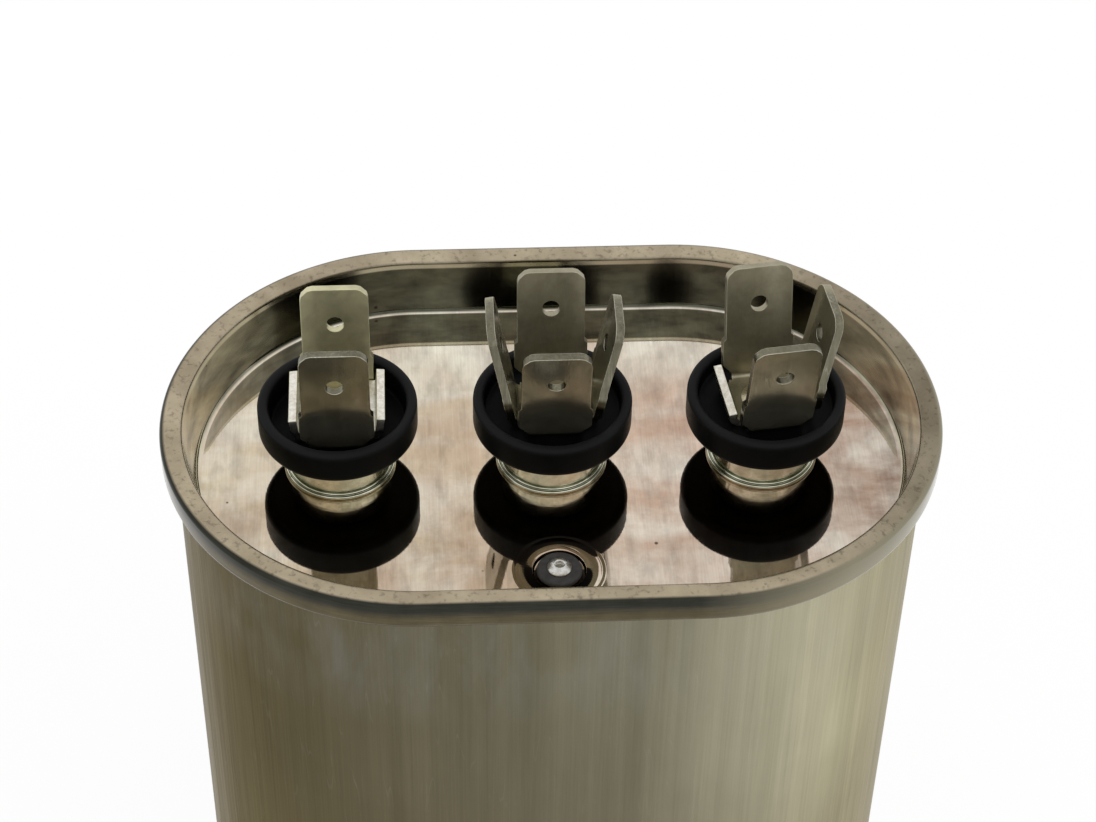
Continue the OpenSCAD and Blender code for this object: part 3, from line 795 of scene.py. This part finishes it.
# %% Finishes: tab_sheared, rubber, pin_metal and rivet_brass
sheared_metal = grain_finish(
    "tab_sheared", (0.88, 0.86, 0.80), (0.60, 0.55, 0.45), (2500, 2500, 2500),
    (0.28, 0.5), 1.0, 41.0)
rubber = grain_finish(
    "rubber", (0.018, 0.017, 0.016), (0.045, 0.042, 0.040), (1800, 1800, 1800),
    (0.55, 0.8), 0.0, 61.0, Specular_IOR_Level=0.3)
pin_metal = grain_finish(
    "pin_metal", (0.70, 0.69, 0.66), (0.45, 0.43, 0.40), (3000, 3000, 3000),
    (0.18, 0.36), 1.0, 71.0, 0.3, 0.04)
rivet_brass = grain_finish(
    "rivet_brass", (0.60, 0.54, 0.40), (0.36, 0.31, 0.20), (2400, 2400, 2400),
    (0.2, 0.38), 1.0, 81.0, 0.3)

# %% [markdown]
# ## Black moulding of the cups
# The cups are moulded from a glass-filled black plastic: deep black and satin, with a fine
# mould grain, a faint grey bloom, and a painted grey sheen along the rim.

# %% Finish: black_moulding
deep_black = (0.0020, 0.0024, 0.0022)
bloom_black = (0.0060, 0.0064, 0.0062)
# Painted sheen for the rim:
rim_sheen_grey = (0.014, 0.014, 0.015)

cup_plastic, tree, shader = start_finish("black_moulding", Specular_IOR_Level=0.04)
grainy = use(tree, grain_group, Lines=(2600, 2600, 2600), Seed=51.0)
bloom = use(tree, cloud_group, Scale=(240, 240, 240), Cover=0.4, Soft=0.3, Seed=52.0)["Mask"]
# A painted sheen greys the rim.
rim_zone = {"Bottom": cup_high.z - 0.45 * mm, "Top": cup_high.z + 1 * mm, "Fade": 0.5 * mm}
rim = use(tree, band_group, **rim_zone)["Mask"]
black = blend_colours(tree, bloom, deep_black, bloom_black, share=0.5)
black = blend_colours(tree, rim, black, rim_sheen_grey, share=0.6)
plug(tree, black, shader, "Base Color")
plug(tree, rescale(tree, grainy["Mask"], 0.0, 1.0, 0.30, 0.46), shader, "Roughness")
add_bump(tree, shader, grainy["Height"], 0.25, 0.04 * mm)
print("finish:", cup_plastic.name)

# %% [markdown]
# ## What the sealed can holds
# The rolls of film, their sprayed ends, pads, liner and leads can't be seen, but someone may
# cut the can open in a later picture. They keep their CAD meshes, and each gets a plain
# finish of its own kind: layered film shows fine lines round the roll, sprayed zinc is
# rough and grainy, and the leads are sleeved in red.

# %% Finishes for the hidden pieces
hidden = {
    "fibre_board": grain_finish(
        "fibre_board", (0.32, 0.19, 0.10), (0.22, 0.12, 0.06), (900, 900, 5000),
        (0.5, 0.7), 0.0, 91.0),
    "pad_plastic": grain_finish(
        "pad_plastic", (0.72, 0.69, 0.58), (0.62, 0.58, 0.46), (1200, 1200, 1200),
        (0.4, 0.6), 0.0, 92.0),
    "liner_film": grain_finish(
        "liner_film", (0.62, 0.52, 0.30), (0.52, 0.42, 0.22), (300, 300, 2500),
        (0.25, 0.45), 0.0, 93.0),
    "core_plastic": grain_finish(
        "core_plastic", (0.80, 0.80, 0.76), (0.70, 0.70, 0.66), (800, 800, 200),
        (0.3, 0.5), 0.0, 94.0),
    "film_roll": grain_finish(
        "film_roll", (0.50, 0.52, 0.56), (0.36, 0.38, 0.42), (200, 200, 9000),
        (0.2, 0.4), 0.8, 95.0),
    "sprayed_metal": grain_finish(
        "sprayed_metal", (0.42, 0.43, 0.44), (0.28, 0.29, 0.30), (1500, 1500, 1500),
        (0.6, 0.8), 0.6, 96.0, depth=0.2),
    "lead_sleeving": grain_finish(
        "lead_sleeving", (0.50, 0.03, 0.02), (0.38, 0.02, 0.015), (600, 600, 600),
        (0.3, 0.5), 0.0, 97.0),
}

# %% Put the finishes on the pieces that keep their CAD mesh
kept_finishes = dict(hidden, rubber=rubber, rivet_brass=rivet_brass)
for name, node in sorted(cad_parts.items()):
    for place in node.material_slots:
        made = kept_finishes.get(place.material.name if place.material else "")
        if made:
            place.material = made
print("finishes on CAD meshes:", sorted(kept_finishes))

# %% [markdown]
# ## The can
# The can's section is a wall that turns into a floor, and at the top the edge is folded
# outwards and down: that is the hook which the lid grips. It is drawn as one closed loop,
# outside first and back along the inside, and carried round the oval.

# %% Draw the can's section
wall_steps = 24

fold_r = (wall_out + can_wall - hook_out) / 2
fold_z = seam_top - hook_out - fold_r
fold_at = (seam_end_r - hook_out - fold_r, fold_z)
curl_room = 2 * seam_gap + (lid_hook_out - lid_sheet) / 2
hook_end = seam_top - seam_height + lid_sheet + curl_room
inner_r = can_end_r - can_wall
inner_corner = can_corner_r - can_wall
wall_rise = (fold_z - can_corner_r) / wall_steps
wall_heights = [can_corner_r + wall_rise * i for i in range(1, wall_steps)]

can_section = arc((can_end_r - can_corner_r, can_corner_r), can_corner_r, -90, 0, 14)
can_section += [(can_end_r, z) for z in wall_heights]
can_section += arc(fold_at, fold_r - can_wall, 180, 0, 12)
can_section += [(seam_end_r - hook_out - can_wall, hook_end)]
can_section += [(seam_end_r - hook_out, hook_end)]
can_section += arc(fold_at, fold_r, 0, 180, 14)
can_section += [(inner_r, z) for z in reversed(wall_heights)]
can_section += arc((inner_r - inner_corner, can_floor + inner_corner), inner_corner, 0, -90, 10)
print("points in the can's section:", len(can_section))

# %% Carry it round and close the floor
bm = bmesh.new()
rings = carry_round(bm, can_section, closed=False, straight_half=half_straight,
                    turn_steps=72, run_steps=30)
for end in (0, -1):
    centre_line = [ring[end] for ring in rings]
    bm.faces.new(centre_line if end else list(reversed(centre_line)))
piece_from(bm, "can_dressed", [can_metal], "can_body", sharp=40)

# %% [markdown]
# ## The lid
# The lid is one sheet all the way: hook, curl under the can's hook, up the seam's face,
# over the top, down the well and in to the panel. So its section is a line down the middle
# of the sheet, thickened to both sides. The panel is filled in with holes left open for the
# terminals, and the dished fill seat is a small turned piece welded to it.

# %% Helper: thicken a line into sheet
def sheet_from(line, thickness):
    """The two sides of a sheet whose middle follows the line."""
    left, right = [], []
    for i, (x, z) in enumerate(line):
        before, after = line[max(i - 1, 0)], line[min(i + 1, len(line) - 1)]
        dx, dz = after[0] - before[0], after[1] - before[1]
        length = math.hypot(dx, dz)
        nx, nz = -dz / length * thickness / 2, dx / length * thickness / 2
        left.append((x + nx, z + nz))
        right.append((x - nx, z - nz))
    return left, right


print("helper: sheet_from")

# %% Draw the middle of the lid's sheet
hook_play = 0.05 * mm
well_wall_end = 176                                     # degrees; the well's wall leans by 4
panel_start = -8                                        # degrees; where the fillet begins
panel_lip = 0.4 * mm                                    # flat sheet before the panel is filled

t = lid_sheet
curl_r = (lid_hook_out + t) / 2
curl_at = (seam_end_r - curl_r, seam_top - seam_height + curl_r)
top_mid = seam_top_r - t / 2
outer_top_at = (seam_end_r - seam_top_r, seam_top - seam_top_r)
inner_top_at = (seam_end_r - seam_width + seam_top_r, seam_top - seam_top_r)
panel_mid = panel_top - t / 2
fillet_mid = well_fillet + t / 2
fillet_at = (panel_end_r - well_fillet, panel_mid + fillet_mid)

lid_line = [(seam_end_r - lid_hook_out - t / 2, fold_z - hook_play)]
lid_line += arc(curl_at, curl_r - t / 2, 180, 360, 16)
lid_line += arc(outer_top_at, top_mid, 0, 90, 8)
lid_line += arc(inner_top_at, top_mid, 90, well_wall_end, 8)
lid_line += arc(fillet_at, fillet_mid, panel_start, -90, 18)
lid_line += [(panel_end_r - well_fillet - panel_lip, panel_mid)]
print("points along the lid's section:", len(lid_line))

# %% Carry the sheet round and open its inner edge
upper, lower = sheet_from(lid_line, t)
lid_bm = bmesh.new()
lid_rings = carry_round(lid_bm, upper + list(reversed(lower)), closed=True,
                        straight_half=half_straight, turn_steps=96, run_steps=40)
left_end, right_end = len(upper) - 1, len(upper)        # the two sides at the panel
for ring, following in zip(lid_rings, lid_rings[1:] + lid_rings[:1]):
    corners = (ring[left_end], following[left_end], following[right_end], ring[right_end])
    lid_bm.faces.remove(lid_bm.faces.get(corners))
top_edge, under_edge = left_end, right_end
if upper[-1][1] < lower[-1][1]:
    top_edge, under_edge = right_end, left_end
print("rings round the lid:", len(lid_rings))

# %% Helpers: holes in the panel, and the panel round them
terminal_hole_r = 4.17 * mm
dish_r = 4.4 * mm


def hole_ring(bm, x, y, z, radius, steps=72):
    """A ring of edges for a hole in the panel."""
    turns = [2 * math.pi * i / steps for i in range(steps)]
    places = [(x + radius * math.cos(a), y + radius * math.sin(a), z) for a in turns]
    points = [bm.verts.new(place) for place in places]
    return points, [bm.edges.new(pair) for pair in zip(points, points[1:] + points[:1])]


def fill_panel(bm, rings, side, z):
    """Fills the flat panel at one side of the sheet; returns the points of its holes."""
    border = [ring[side] for ring in rings]
    pairs = list(zip(border, border[1:] + border[:1]))
    edges = [bm.edges.get(pair) or bm.edges.new(pair) for pair in pairs]
    holes = [hole_ring(bm, place * pitch, 0, z, terminal_hole_r) for place in (-1, 0, 1)]
    holes.append(hole_ring(bm, 0, fill_y, z, dish_r))
    for points, ring_edges in holes:
        edges += ring_edges
    filled = bmesh.ops.triangle_fill(bm, use_beauty=True, edges=edges)
    for part in filled["geom"]:
        if isinstance(part, bmesh.types.BMFace):
            part.smooth = False
    return [points for points, ring_edges in holes]


print("helpers: hole_ring and fill_panel")

# %% Fill the panel and wall its holes
top_holes = fill_panel(lid_bm, lid_rings, top_edge, panel_top)
under_holes = fill_panel(lid_bm, lid_rings, under_edge, panel_top - t)
for above, below in zip(top_holes[:3], under_holes[:3]):
    for i in range(len(above)):
        j = (i + 1) % len(above)
        lid_bm.faces.new((above[i], above[j], below[j], below[i])).smooth = True
print("holes in the panel:", len(top_holes))

# %% [markdown]
# The fill seat is pressed down in two soft steps: a shallow one at its rim, and a deeper
# one close round the rubber ring, with an almost flat ring of metal between them.

# %% Turn the fill seat and weld it to the lid
dish_depth = 0.4 * mm
dish_rim_depth = 0.04 * mm
dish_rim_width = 0.5 * mm
dish_step_r = 2.52 * mm
dish_flat_r = 2.32 * mm
pin_hole_r = 0.86 * mm
weld_distance = 1e-6


def soft_drop(from_r, to_r, from_z, to_z, steps=8):
    """Points of a smooth step down from one radius to a smaller one."""
    parts = [(i / steps, (1 - math.cos(math.pi * i / steps)) / 2) for i in range(steps + 1)]
    return [(from_r + (to_r - from_r) * a, from_z + (to_z - from_z) * b) for a, b in parts]


dish_line = soft_drop(dish_r, dish_r - dish_rim_width, 0, -dish_rim_depth)
dish_line += soft_drop(dish_step_r, dish_flat_r, -dish_rim_depth, -dish_depth)
dish_line += [(pin_hole_r, -dish_depth)]
dish_section = [(r, panel_top + z) for r, z in dish_line]
dish_section += [(r, panel_top - t + z) for r, z in reversed(dish_line)]

dish_bm = bmesh.new()
carry_round(dish_bm, dish_section, closed=False, turn_steps=36)
bmesh.ops.translate(dish_bm, vec=(0, fill_y, 0), verts=dish_bm.verts)
dish_mesh = bpy.data.meshes.new("dish")
dish_bm.to_mesh(dish_mesh)
dish_bm.free()
lid_bm.from_mesh(dish_mesh)
bpy.data.meshes.remove(dish_mesh)
bmesh.ops.remove_doubles(lid_bm, verts=lid_bm.verts, dist=weld_distance)
piece_from(lid_bm, "lid_dressed", [tinplate], "lid", sharp=40)

# %% [markdown]
# ## Turned pieces
# Cups, ferrules, and the pin and ring of the fill hole are round, so each is a closed
# section carried round its own axis. The three terminals share one drawing each, placed
# along the row.

# %% Helper: turn a section about an upright axis
same_point = 1e-7
terminals = (("left", -1), ("centre", 0), ("right", 1))


def turned_piece(name, section, x, y, finish, node, steps=48, sharp=40):
    """A closed section of (radius, height) points turned about the upright axis at x, y."""
    bm = bmesh.new()
    carry_round(bm, section, closed=True, turn_steps=steps)
    bmesh.ops.translate(bm, vec=(x, y, 0), verts=bm.verts)
    bmesh.ops.remove_doubles(bm, verts=bm.verts, dist=same_point)
    return piece_from(bm, name, [finish], node, sharp)


print("terminals along the row:", [name for name, place in terminals])

# %% [markdown]
# ### Ferrules
# A ferrule is drawn from one disc of sheet into a small top hat: a foot with a rolled edge
# on the lid, a wide neck with a soft shoulder, and a crown that the cup sits on, closed in
# to the cup's stem. Outside and inside are drawn as one closed line.

# %% Draw the ferrules
ferrule_t = 0.3 * mm
foot_r = 5.3 * mm
neck_r = 4.75 * mm
stem_hole_r = 2.27 * mm
cup_bottom = panel_top + 4.4 * mm
bead = 0.7 * ferrule_t
shoulder_r = 1.0 * mm
foot_fillet = 0.2 * mm
neck_start = panel_top + 1.5 * mm

crown_at = (neck_r - shoulder_r, cup_bottom - shoulder_r)
foot_at = (neck_r + foot_fillet, panel_top + ferrule_t + foot_fillet)
ferrule_section = [(stem_hole_r, cup_bottom)]
ferrule_section += arc(crown_at, shoulder_r, 90, 0, 12)
ferrule_section += [(neck_r, neck_start)]
ferrule_section += arc(foot_at, foot_fillet, 180, 262, 8)
ferrule_section += arc((foot_r - bead, panel_top + bead), bead, 125, -90, 14)
ferrule_section += [(neck_r - ferrule_t, panel_top)]
ferrule_section += arc(crown_at, shoulder_r - ferrule_t, 0, 90, 8)
ferrule_section += [(stem_hole_r, cup_bottom - ferrule_t)]
for name, place in terminals:
    turned_piece(name + "_ferrule_dressed", ferrule_section, place * pitch, 0,
                 ferrule_metal, name + "_ferrule", steps=64)

# %% [markdown]
# ### Cups
# A cup keeps water and stray strands away from the joint between tab and rivet. Its wall is
# rounded at the rim, its heel is rounded to leave the mould, and a stem lines the ferrule.
# The left stamping sits deeper, so that cup has a thinner floor.

# %% Draw the cups
cup_r = (cup_high.y - cup_low.y) / 2
rim_wall = 1.05 * mm
rim_edge = 0.43 * rim_wall
cup_heel = 0.9 * mm
seat_fillet = 0.3 * mm
stem_in = 1.56 * mm
stem_out = 2.21 * mm
stem_end = panel_top - lid_sheet
rim_z = cup_high.z - rim_edge
seat_thickness = {"left": 0.8 * mm, "centre": 1.9 * mm, "right": 1.9 * mm}

for name, place in terminals:
    floor_z = cup_bottom + seat_thickness[name]
    section = [(stem_in, stem_end), (stem_out, stem_end), (stem_out, cup_bottom)]
    section += arc((cup_r - cup_heel, cup_bottom + cup_heel), cup_heel, -90, 0, 10)
    section += arc((cup_r - rim_edge, rim_z), rim_edge, 0, 90, 8)
    section += arc((cup_r - rim_wall + rim_edge, rim_z), rim_edge, 90, 180, 8)
    seat_at = (cup_r - rim_wall - seat_fillet, floor_z + seat_fillet)
    section += arc(seat_at, seat_fillet, 0, -90, 5)
    section += [(stem_in, floor_z)]
    turned_piece(name + "_cup_dressed", section, place * pitch, 0,
                 cup_plastic, name + "_cup", steps=64)

# %% [markdown]
# ### Fill hole
# The can is filled with oil or resin through a hole in the dished seat. A pin with a
# dimpled head closes it, over a rubber ring that is squeezed a little so that it bulges.

# %% Draw the sealing ring
ring_share = 0.91                                       # part of the ring's radius that shows
ring_r = ring_share * (ring_high.x - ring_low.x) / 2
ring_z = ring_low.z
ring_t = ring_high.z - ring_low.z
bulge = 0.45 * ring_t

ring_section = [(pin_hole_r, ring_z), (ring_r - bulge, ring_z)]
ring_section += arc((ring_r - bulge, ring_z + ring_t / 2), ring_t / 2, -70, 70, 10)
ring_section += [(ring_r - bulge, ring_z + ring_t), (pin_hole_r, ring_z + ring_t)]
turned_piece("fill_gasket_dressed", ring_section, 0, fill_y, rubber, "fill_gasket")

# %% Draw the closing pin
pin_low, pin_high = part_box("fill_pin")
pin_r = 0.8 * mm
lip_r = 1.5 * pin_r                                     # lip that holds it under the lid
lip_top = pin_low.z + 0.35 * mm
head_r = 1.15 * mm
head_chamfer = 0.05 * mm
head_side = 0.06 * mm
head_z = ring_z + ring_t
head_h = pin_high.z - head_z
dome_r = 1.25 * head_r
dome_at = (0, head_z + head_h - dome_r)
dimple_r = pin_r / 2
dimple_lip = 0.12 * mm
dimple_edge_z = head_z + head_h - 0.14 * mm
dimple_z = head_z + head_h / 2
dome_start = math.degrees(math.acos(head_r / dome_r))
dome_end = math.degrees(math.acos((dimple_r + dimple_lip) / dome_r))

pin_section = [(0.0, pin_low.z), (lip_r, pin_low.z), (lip_r, lip_top), (pin_r, lip_top)]
pin_section += [(pin_r, head_z), (head_r - head_chamfer, head_z), (head_r, head_z + head_side)]
pin_section += arc(dome_at, dome_r, dome_start, dome_end, 10)
pin_section += [(dimple_r, dimple_edge_z), (dimple_r - head_chamfer, dimple_z), (0.0, dimple_z)]
turned_piece("fill_pin_dressed", pin_section, 0, fill_y, pin_metal, "fill_pin")

# %% [markdown]
# ## Folded tabs
# Each set of tabs is one stamping. The press cuts a flat cross, pierces it and folds the
# four arms up, and on two of the sets some arms are cut off short. We do the same: draw the
# flat blank with narrow strips across the folds, bend every point by where it lies along
# its arm, thicken the sheet with Solidify and break its edges with Bevel. Drawing the bent
# shape directly would need each curved edge by hand.

# %% Sizes of the stamping
tab_t = 0.8 * mm
tab_bend_r = 0.5 * mm
tab_half_base = 2.95 * mm
tab_length = 11.2 * mm
tab_plug = 7.5 * mm
tab_half = 3.175 * mm
tab_half_shoulder = 3.45 * mm
tab_half_root = 2.6 * mm
tab_tip_cut = 1.15 * mm
tab_hole_r = 0.82 * mm
tab_hole_down = 3.9 * mm
stub_length = 1.25 * mm
tall_stub_length = 2.35 * mm
liner_drop = 0.3 * mm
rivet_hole_r = 1.56 * mm
fold_radius = tab_bend_r + tab_t / 2                    # bend radius of the sheet's middle
fold_steps = 12                                         # strips across a fold
whole_face, cut_face, edge_face = 0, 2, 4               # places in the stamping's finishes
print("whole arm beyond its fold, mm:", round(tab_length / mm, 2))


# %% Helper: the outline of an arm
def arm_outline(whole, fold_length, stub=stub_length):
    """Right half of an arm's outline: (distance from the centre, half width) going outwards."""
    bend_end = tab_half_base + fold_length
    flare = tab_half_shoulder - tab_half_root
    root = [(tab_half_base, tab_half_root), (bend_end, tab_half_root),
            (bend_end + flare, tab_half_shoulder)]
    if not whole:
        return root + [(bend_end + stub, tab_half_shoulder)]
    neck_end, tip = bend_end + tab_length - tab_plug, bend_end + tab_length
    most, least = 0.6 * tab_tip_cut, 0.12 * tab_tip_cut
    return root + [
        (neck_end - (tab_half_shoulder - tab_half), tab_half_shoulder), (neck_end, tab_half),
        (tip - tab_tip_cut, tab_half), (tip - most, tab_half - least),
        (tip - least, tab_half - most), (tip, tab_half - tab_tip_cut)]


print("corners of half an arm:", len(arm_outline(True, fold_radius)))


# %% Helpers: fold a point of the blank
def arm_of(point):
    """Which arm a point of the blank belongs to: 0 right, 1 back, 2 left, 3 front."""
    if abs(point.x) > abs(point.y):
        return 0 if point.x > 0 else 2
    return 1 if point.y > 0 else 3


def bend_point(point, leans):
    """Where a point of the flat blank ends up once its arm is folded."""
    along_x = abs(point.x) > abs(point.y)
    lean = leans[arm_of(point)]
    reach, across = (abs(point.x), point.y) if along_x else (abs(point.y), point.x)
    if reach <= tab_half_base + same_point:
        return Vector((point.x, point.y, 0))
    turn_end = math.pi / 2 - lean
    turn = min((reach - tab_half_base) / fold_radius, turn_end)
    beyond = max(reach - tab_half_base - turn_end * fold_radius, 0)
    out = tab_half_base + fold_radius * math.sin(turn) + beyond * math.cos(turn)
    up = fold_radius * (1 - math.cos(turn)) + beyond * math.sin(turn)
    side = math.copysign(1, point.x if along_x else point.y)
    return Vector((side * out, across, up)) if along_x else Vector((across, side * out, up))


upright = bend_point(Vector((tab_half_base + tab_length, 0, 0)), [0] * 4)
print("an upright arm reaches, mm:", round(upright.z / mm, 2))


# %% Helpers: draw the flat blank
def round_points(radius, sweep, steps, centre=0.0):
    """Points of an arc about a point of the arm's middle line."""
    turns = [sweep * i / steps for i in range(steps + 1)]
    return [(centre + radius * math.cos(a), radius * math.sin(a)) for a in turns]


def add_face(bm, spin, corners, finish=whole_face):
    """A flat face of the blank, spun to its arm."""
    verts = [bm.verts.new(spin @ Vector((x, y, 0))) for x, y in corners]
    bm.faces.new(verts).material_index = finish


def flat_base(bm):
    """The square base as four corner pieces round the rivet hole."""
    for quarter in range(4):
        spin = Matrix.Rotation(quarter * math.pi / 2, 3, "Z")
        b, w = tab_half_base, tab_half_root
        hole = round_points(rivet_hole_r, math.pi / 2, 12)
        add_face(bm, spin, [(b, 0), (b, w), (b, b), (w, b), (0, b)] + list(reversed(hole)))


def flat_arm(bm, quarter, whole, fold_length, stub):
    """One arm: narrow strips across the fold, then the blade in two halves round its hole."""
    spin = Matrix.Rotation(quarter * math.pi / 2, 3, "Z")
    outline = arm_outline(whole, fold_length, stub)
    finish = whole_face if whole else cut_face
    bend_end, tip = outline[1][0], outline[-1][0]
    for i in range(fold_steps):
        near, far = (tab_half_base + fold_length * k / fold_steps for k in (i, i + 1))
        for side in (1, -1):
            edge = side * tab_half_root
            add_face(bm, spin, [(near, 0), (far, 0), (far, edge), (near, edge)], finish)
    hole = round_points(tab_hole_r, math.pi, 20, tip - tab_hole_down) if whole else []
    for side in (1, -1):
        half = [(bend_end, 0)] + outline[1:] + [(tip, 0)] + hole
        add_face(bm, spin, [(x, side * y) for x, y in half], finish)


print("strips across one fold:", fold_steps)


# %% Helper: the second layer of a cut-off arm
def stub_liner(bm, quarter, fold_length, leans):
    """A second, lower layer of sheet that lies against the inside of a cut-off arm."""
    spin = Matrix.Rotation(quarter * math.pi / 2, 3, "Z")
    outline = arm_outline(False, fold_length, stub_length)[1:]
    shift = spin @ Vector((-tab_t, 0, -liner_drop))
    for side in (1, -1):
        half = [(outline[0][0], 0)] + outline + [(outline[-1][0], 0)]
        points = [spin @ Vector((x, side * y, 0)) for x, y in half]
        verts = [bm.verts.new(bend_point(point, leans) + shift) for point in points]
        bm.faces.new(verts).material_index = cut_face


print("helper: stub_liner")


# %% Helper: fold a whole blank
def folded_blank(lean_degrees, wholes, tall_stubs):
    """The blank with its arms folded up, as a sheet without thickness."""
    leans = [math.radians(degrees) for degrees in lean_degrees]
    fold_lengths = [(math.pi / 2 - lean) * fold_radius for lean in leans]
    stub = tall_stub_length if tall_stubs else stub_length
    bm = bmesh.new()
    flat_base(bm)
    for quarter, whole in enumerate(wholes):
        flat_arm(bm, quarter, whole, fold_lengths[quarter], stub)
    bmesh.ops.remove_doubles(bm, verts=bm.verts, dist=same_point)
    for vert in bm.verts:
        vert.co = bend_point(vert.co, leans)
    for quarter, whole in enumerate(wholes):
        if tall_stubs and not whole:
            stub_liner(bm, quarter, fold_lengths[quarter], leans)
    bmesh.ops.remove_doubles(bm, verts=bm.verts, dist=same_point)
    return bm


print("helper: folded_blank")


# %% Helper: make a stamping from its folded blank
broken_edge = 0.1 * mm
broken_angle = math.radians(50)


def folded_tabs(name, x, seat, lean_degrees, turn_degrees, wholes, node, tall_stubs=False):
    """One stamping: flat blank, folded, thickened and with its edges broken."""
    bm = folded_blank(lean_degrees, wholes, tall_stubs)
    spin = Matrix.Rotation(math.radians(turn_degrees), 3, "Z")
    bmesh.ops.rotate(bm, cent=(0, 0, 0), matrix=spin, verts=bm.verts)
    bmesh.ops.translate(bm, vec=(x, 0, seat + tab_t / 2), verts=bm.verts)
    bmesh.ops.recalc_face_normals(bm, faces=bm.faces)
    for face in bm.faces:
        face.smooth = True
    mesh = bpy.data.meshes.new(name)
    bm.to_mesh(mesh)
    bm.free()
    for finish in (tab_metal, tab_side, tab_metal, sheared_metal, tab_edge_highlight):
        mesh.materials.append(finish)
    piece = bpy.data.objects.new(name, mesh)
    bpy.context.scene.collection.objects.link(piece)
    sheet = piece.modifiers.new("sheet", "SOLIDIFY")
    sheet.thickness, sheet.offset = tab_t, 0
    sheet.material_offset_rim = 1
    edge = piece.modifiers.new("broken_edges", "BEVEL")
    edge.width, edge.segments = broken_edge, 2
    edge.limit_method, edge.angle_limit = "ANGLE", broken_angle
    edge.harden_normals = True
    edge.material = edge_face
    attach(piece, "root")
    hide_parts(node)
    print(name, "flat faces:", len(mesh.polygons))
    return piece


print("broken edge mm:", round(broken_edge / mm, 2))

# %% [markdown]
# The three sets differ: the left one has its side arms cut off, shows a second layer of
# sheet beside each cut, and sits deeper in its cup; the right one has one arm cut off and
# is turned a little on its rivet. Use has bent each arm a little differently, so each has
# its own lean, given in degrees for the right, back, left and front arm.

# %% Fold the three sets
left_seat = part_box("left_tabs")[0].z
folded_tabs("left_tabs_dressed", -pitch, left_seat, (6, 7, 6, 1), 0,
            (False, True, False, True), "left_tabs", tall_stubs=True)
folded_tabs("centre_tabs_dressed", 0, tabs_low.z, (10.7, 10.7, 10.7, 10.7), 0,
            (True, True, True, True), "centre_tabs")
folded_tabs("right_tabs_dressed", pitch, tabs_low.z, (8.5, 12.0, 8.5, 9.5), 7,
            (True, True, False, True), "right_tabs")

# %% [markdown]
# ## Floor
# The part stands on a plain pale floor. The floor mixes its own shading with a steady
# white, so that it stays pale and still keeps the part's shadow. Light Path tells the
# material who looks: only the camera, mirrors and glass see the steady white, so it
# throws no extra light on the part.

# %% Make the floor
floor_size = 4
floor_white = (0.86, 0.86, 0.86, 1)
steady_share = 0.85

floor_mesh = bpy.data.meshes.new("floor")
bm = bmesh.new()
bmesh.ops.create_grid(bm, x_segments=1, y_segments=1, size=floor_size)
bm.to_mesh(floor_mesh)
bm.free()
floor = bpy.data.objects.new("floor", floor_mesh)
bpy.context.scene.collection.objects.link(floor)
floor.location.z = -0.02 * mm

floor_finish = bpy.data.materials.new("floor_white")
floor_finish.use_nodes = True
tree = floor_finish.node_tree
tree.nodes.clear()
path = put(tree, "LightPath").outputs
seen = sums(tree, "MAXIMUM", path["Is Camera Ray"], path["Is Glossy Ray"])
seen = sums(tree, "MAXIMUM", seen, path["Is Transmission Ray"])
matt = put(tree, "BsdfDiffuse", {"Color": floor_white}).outputs[0]
glow = put(tree, "Emission", {"Color": (1, 1, 1, 1), "Strength": 1.0}).outputs[0]
mixed = put(tree, "MixShader", {0: times(tree, seen, steady_share), 1: matt, 2: glow}).outputs[0]
put(tree, "OutputMaterial", {"Surface": mixed})
floor_mesh.materials.append(floor_finish)
print("stage:", floor.name)

# %% [markdown]
# ## Light
# Metal shows what is around it, so the world is an even white of strength 1: it lights the
# part softly from all sides and is what the bare metal mirrors. Two soft boxes add a
# gentle shape. They are unseen by the camera and by mirrors, because a lamp's own
# reflection in the lid would be brighter than white.

# %% Light the part
world = bpy.data.worlds.new("studio")
bpy.context.scene.world = world
world.use_nodes = True
sky = world.node_tree.nodes["Background"].inputs
sky["Color"].default_value = (1, 1, 1, 1)
sky["Strength"].default_value = 1.0
lid_middle = (0, 0, 0.09)


def soft_box(name, place, aim, width, height, power):
    """A large area lamp aimed at a point, unseen by the camera and by mirrors."""
    lamp = bpy.data.lights.new(name, "AREA")
    lamp.shape, lamp.size, lamp.size_y, lamp.energy = "RECTANGLE", width, height, power
    holder = bpy.data.objects.new(name, lamp)
    bpy.context.scene.collection.objects.link(holder)
    holder.location = place
    towards = Vector(aim) - Vector(place)
    holder.rotation_euler = towards.to_track_quat("-Z", "Y").to_euler()
    holder.visible_camera = False
    holder.visible_glossy = False
    return holder


key = soft_box("key", (-0.35, 0.25, 0.95), lid_middle, 0.35, 0.35, 1.6)
side = soft_box("side", (0.7, -0.55, 0.55), lid_middle, 0.2, 0.5, 1.2)
print("soft boxes:", key.name, side.name)

# %% [markdown]
# ## View transform
# The picture is shown with the plain Standard transform, so that colours come out as they
# are written. The dressed part has to stay inside the CAD model's box.

# %% Set the view transform
bpy.context.scene.view_settings.view_transform = "Standard"
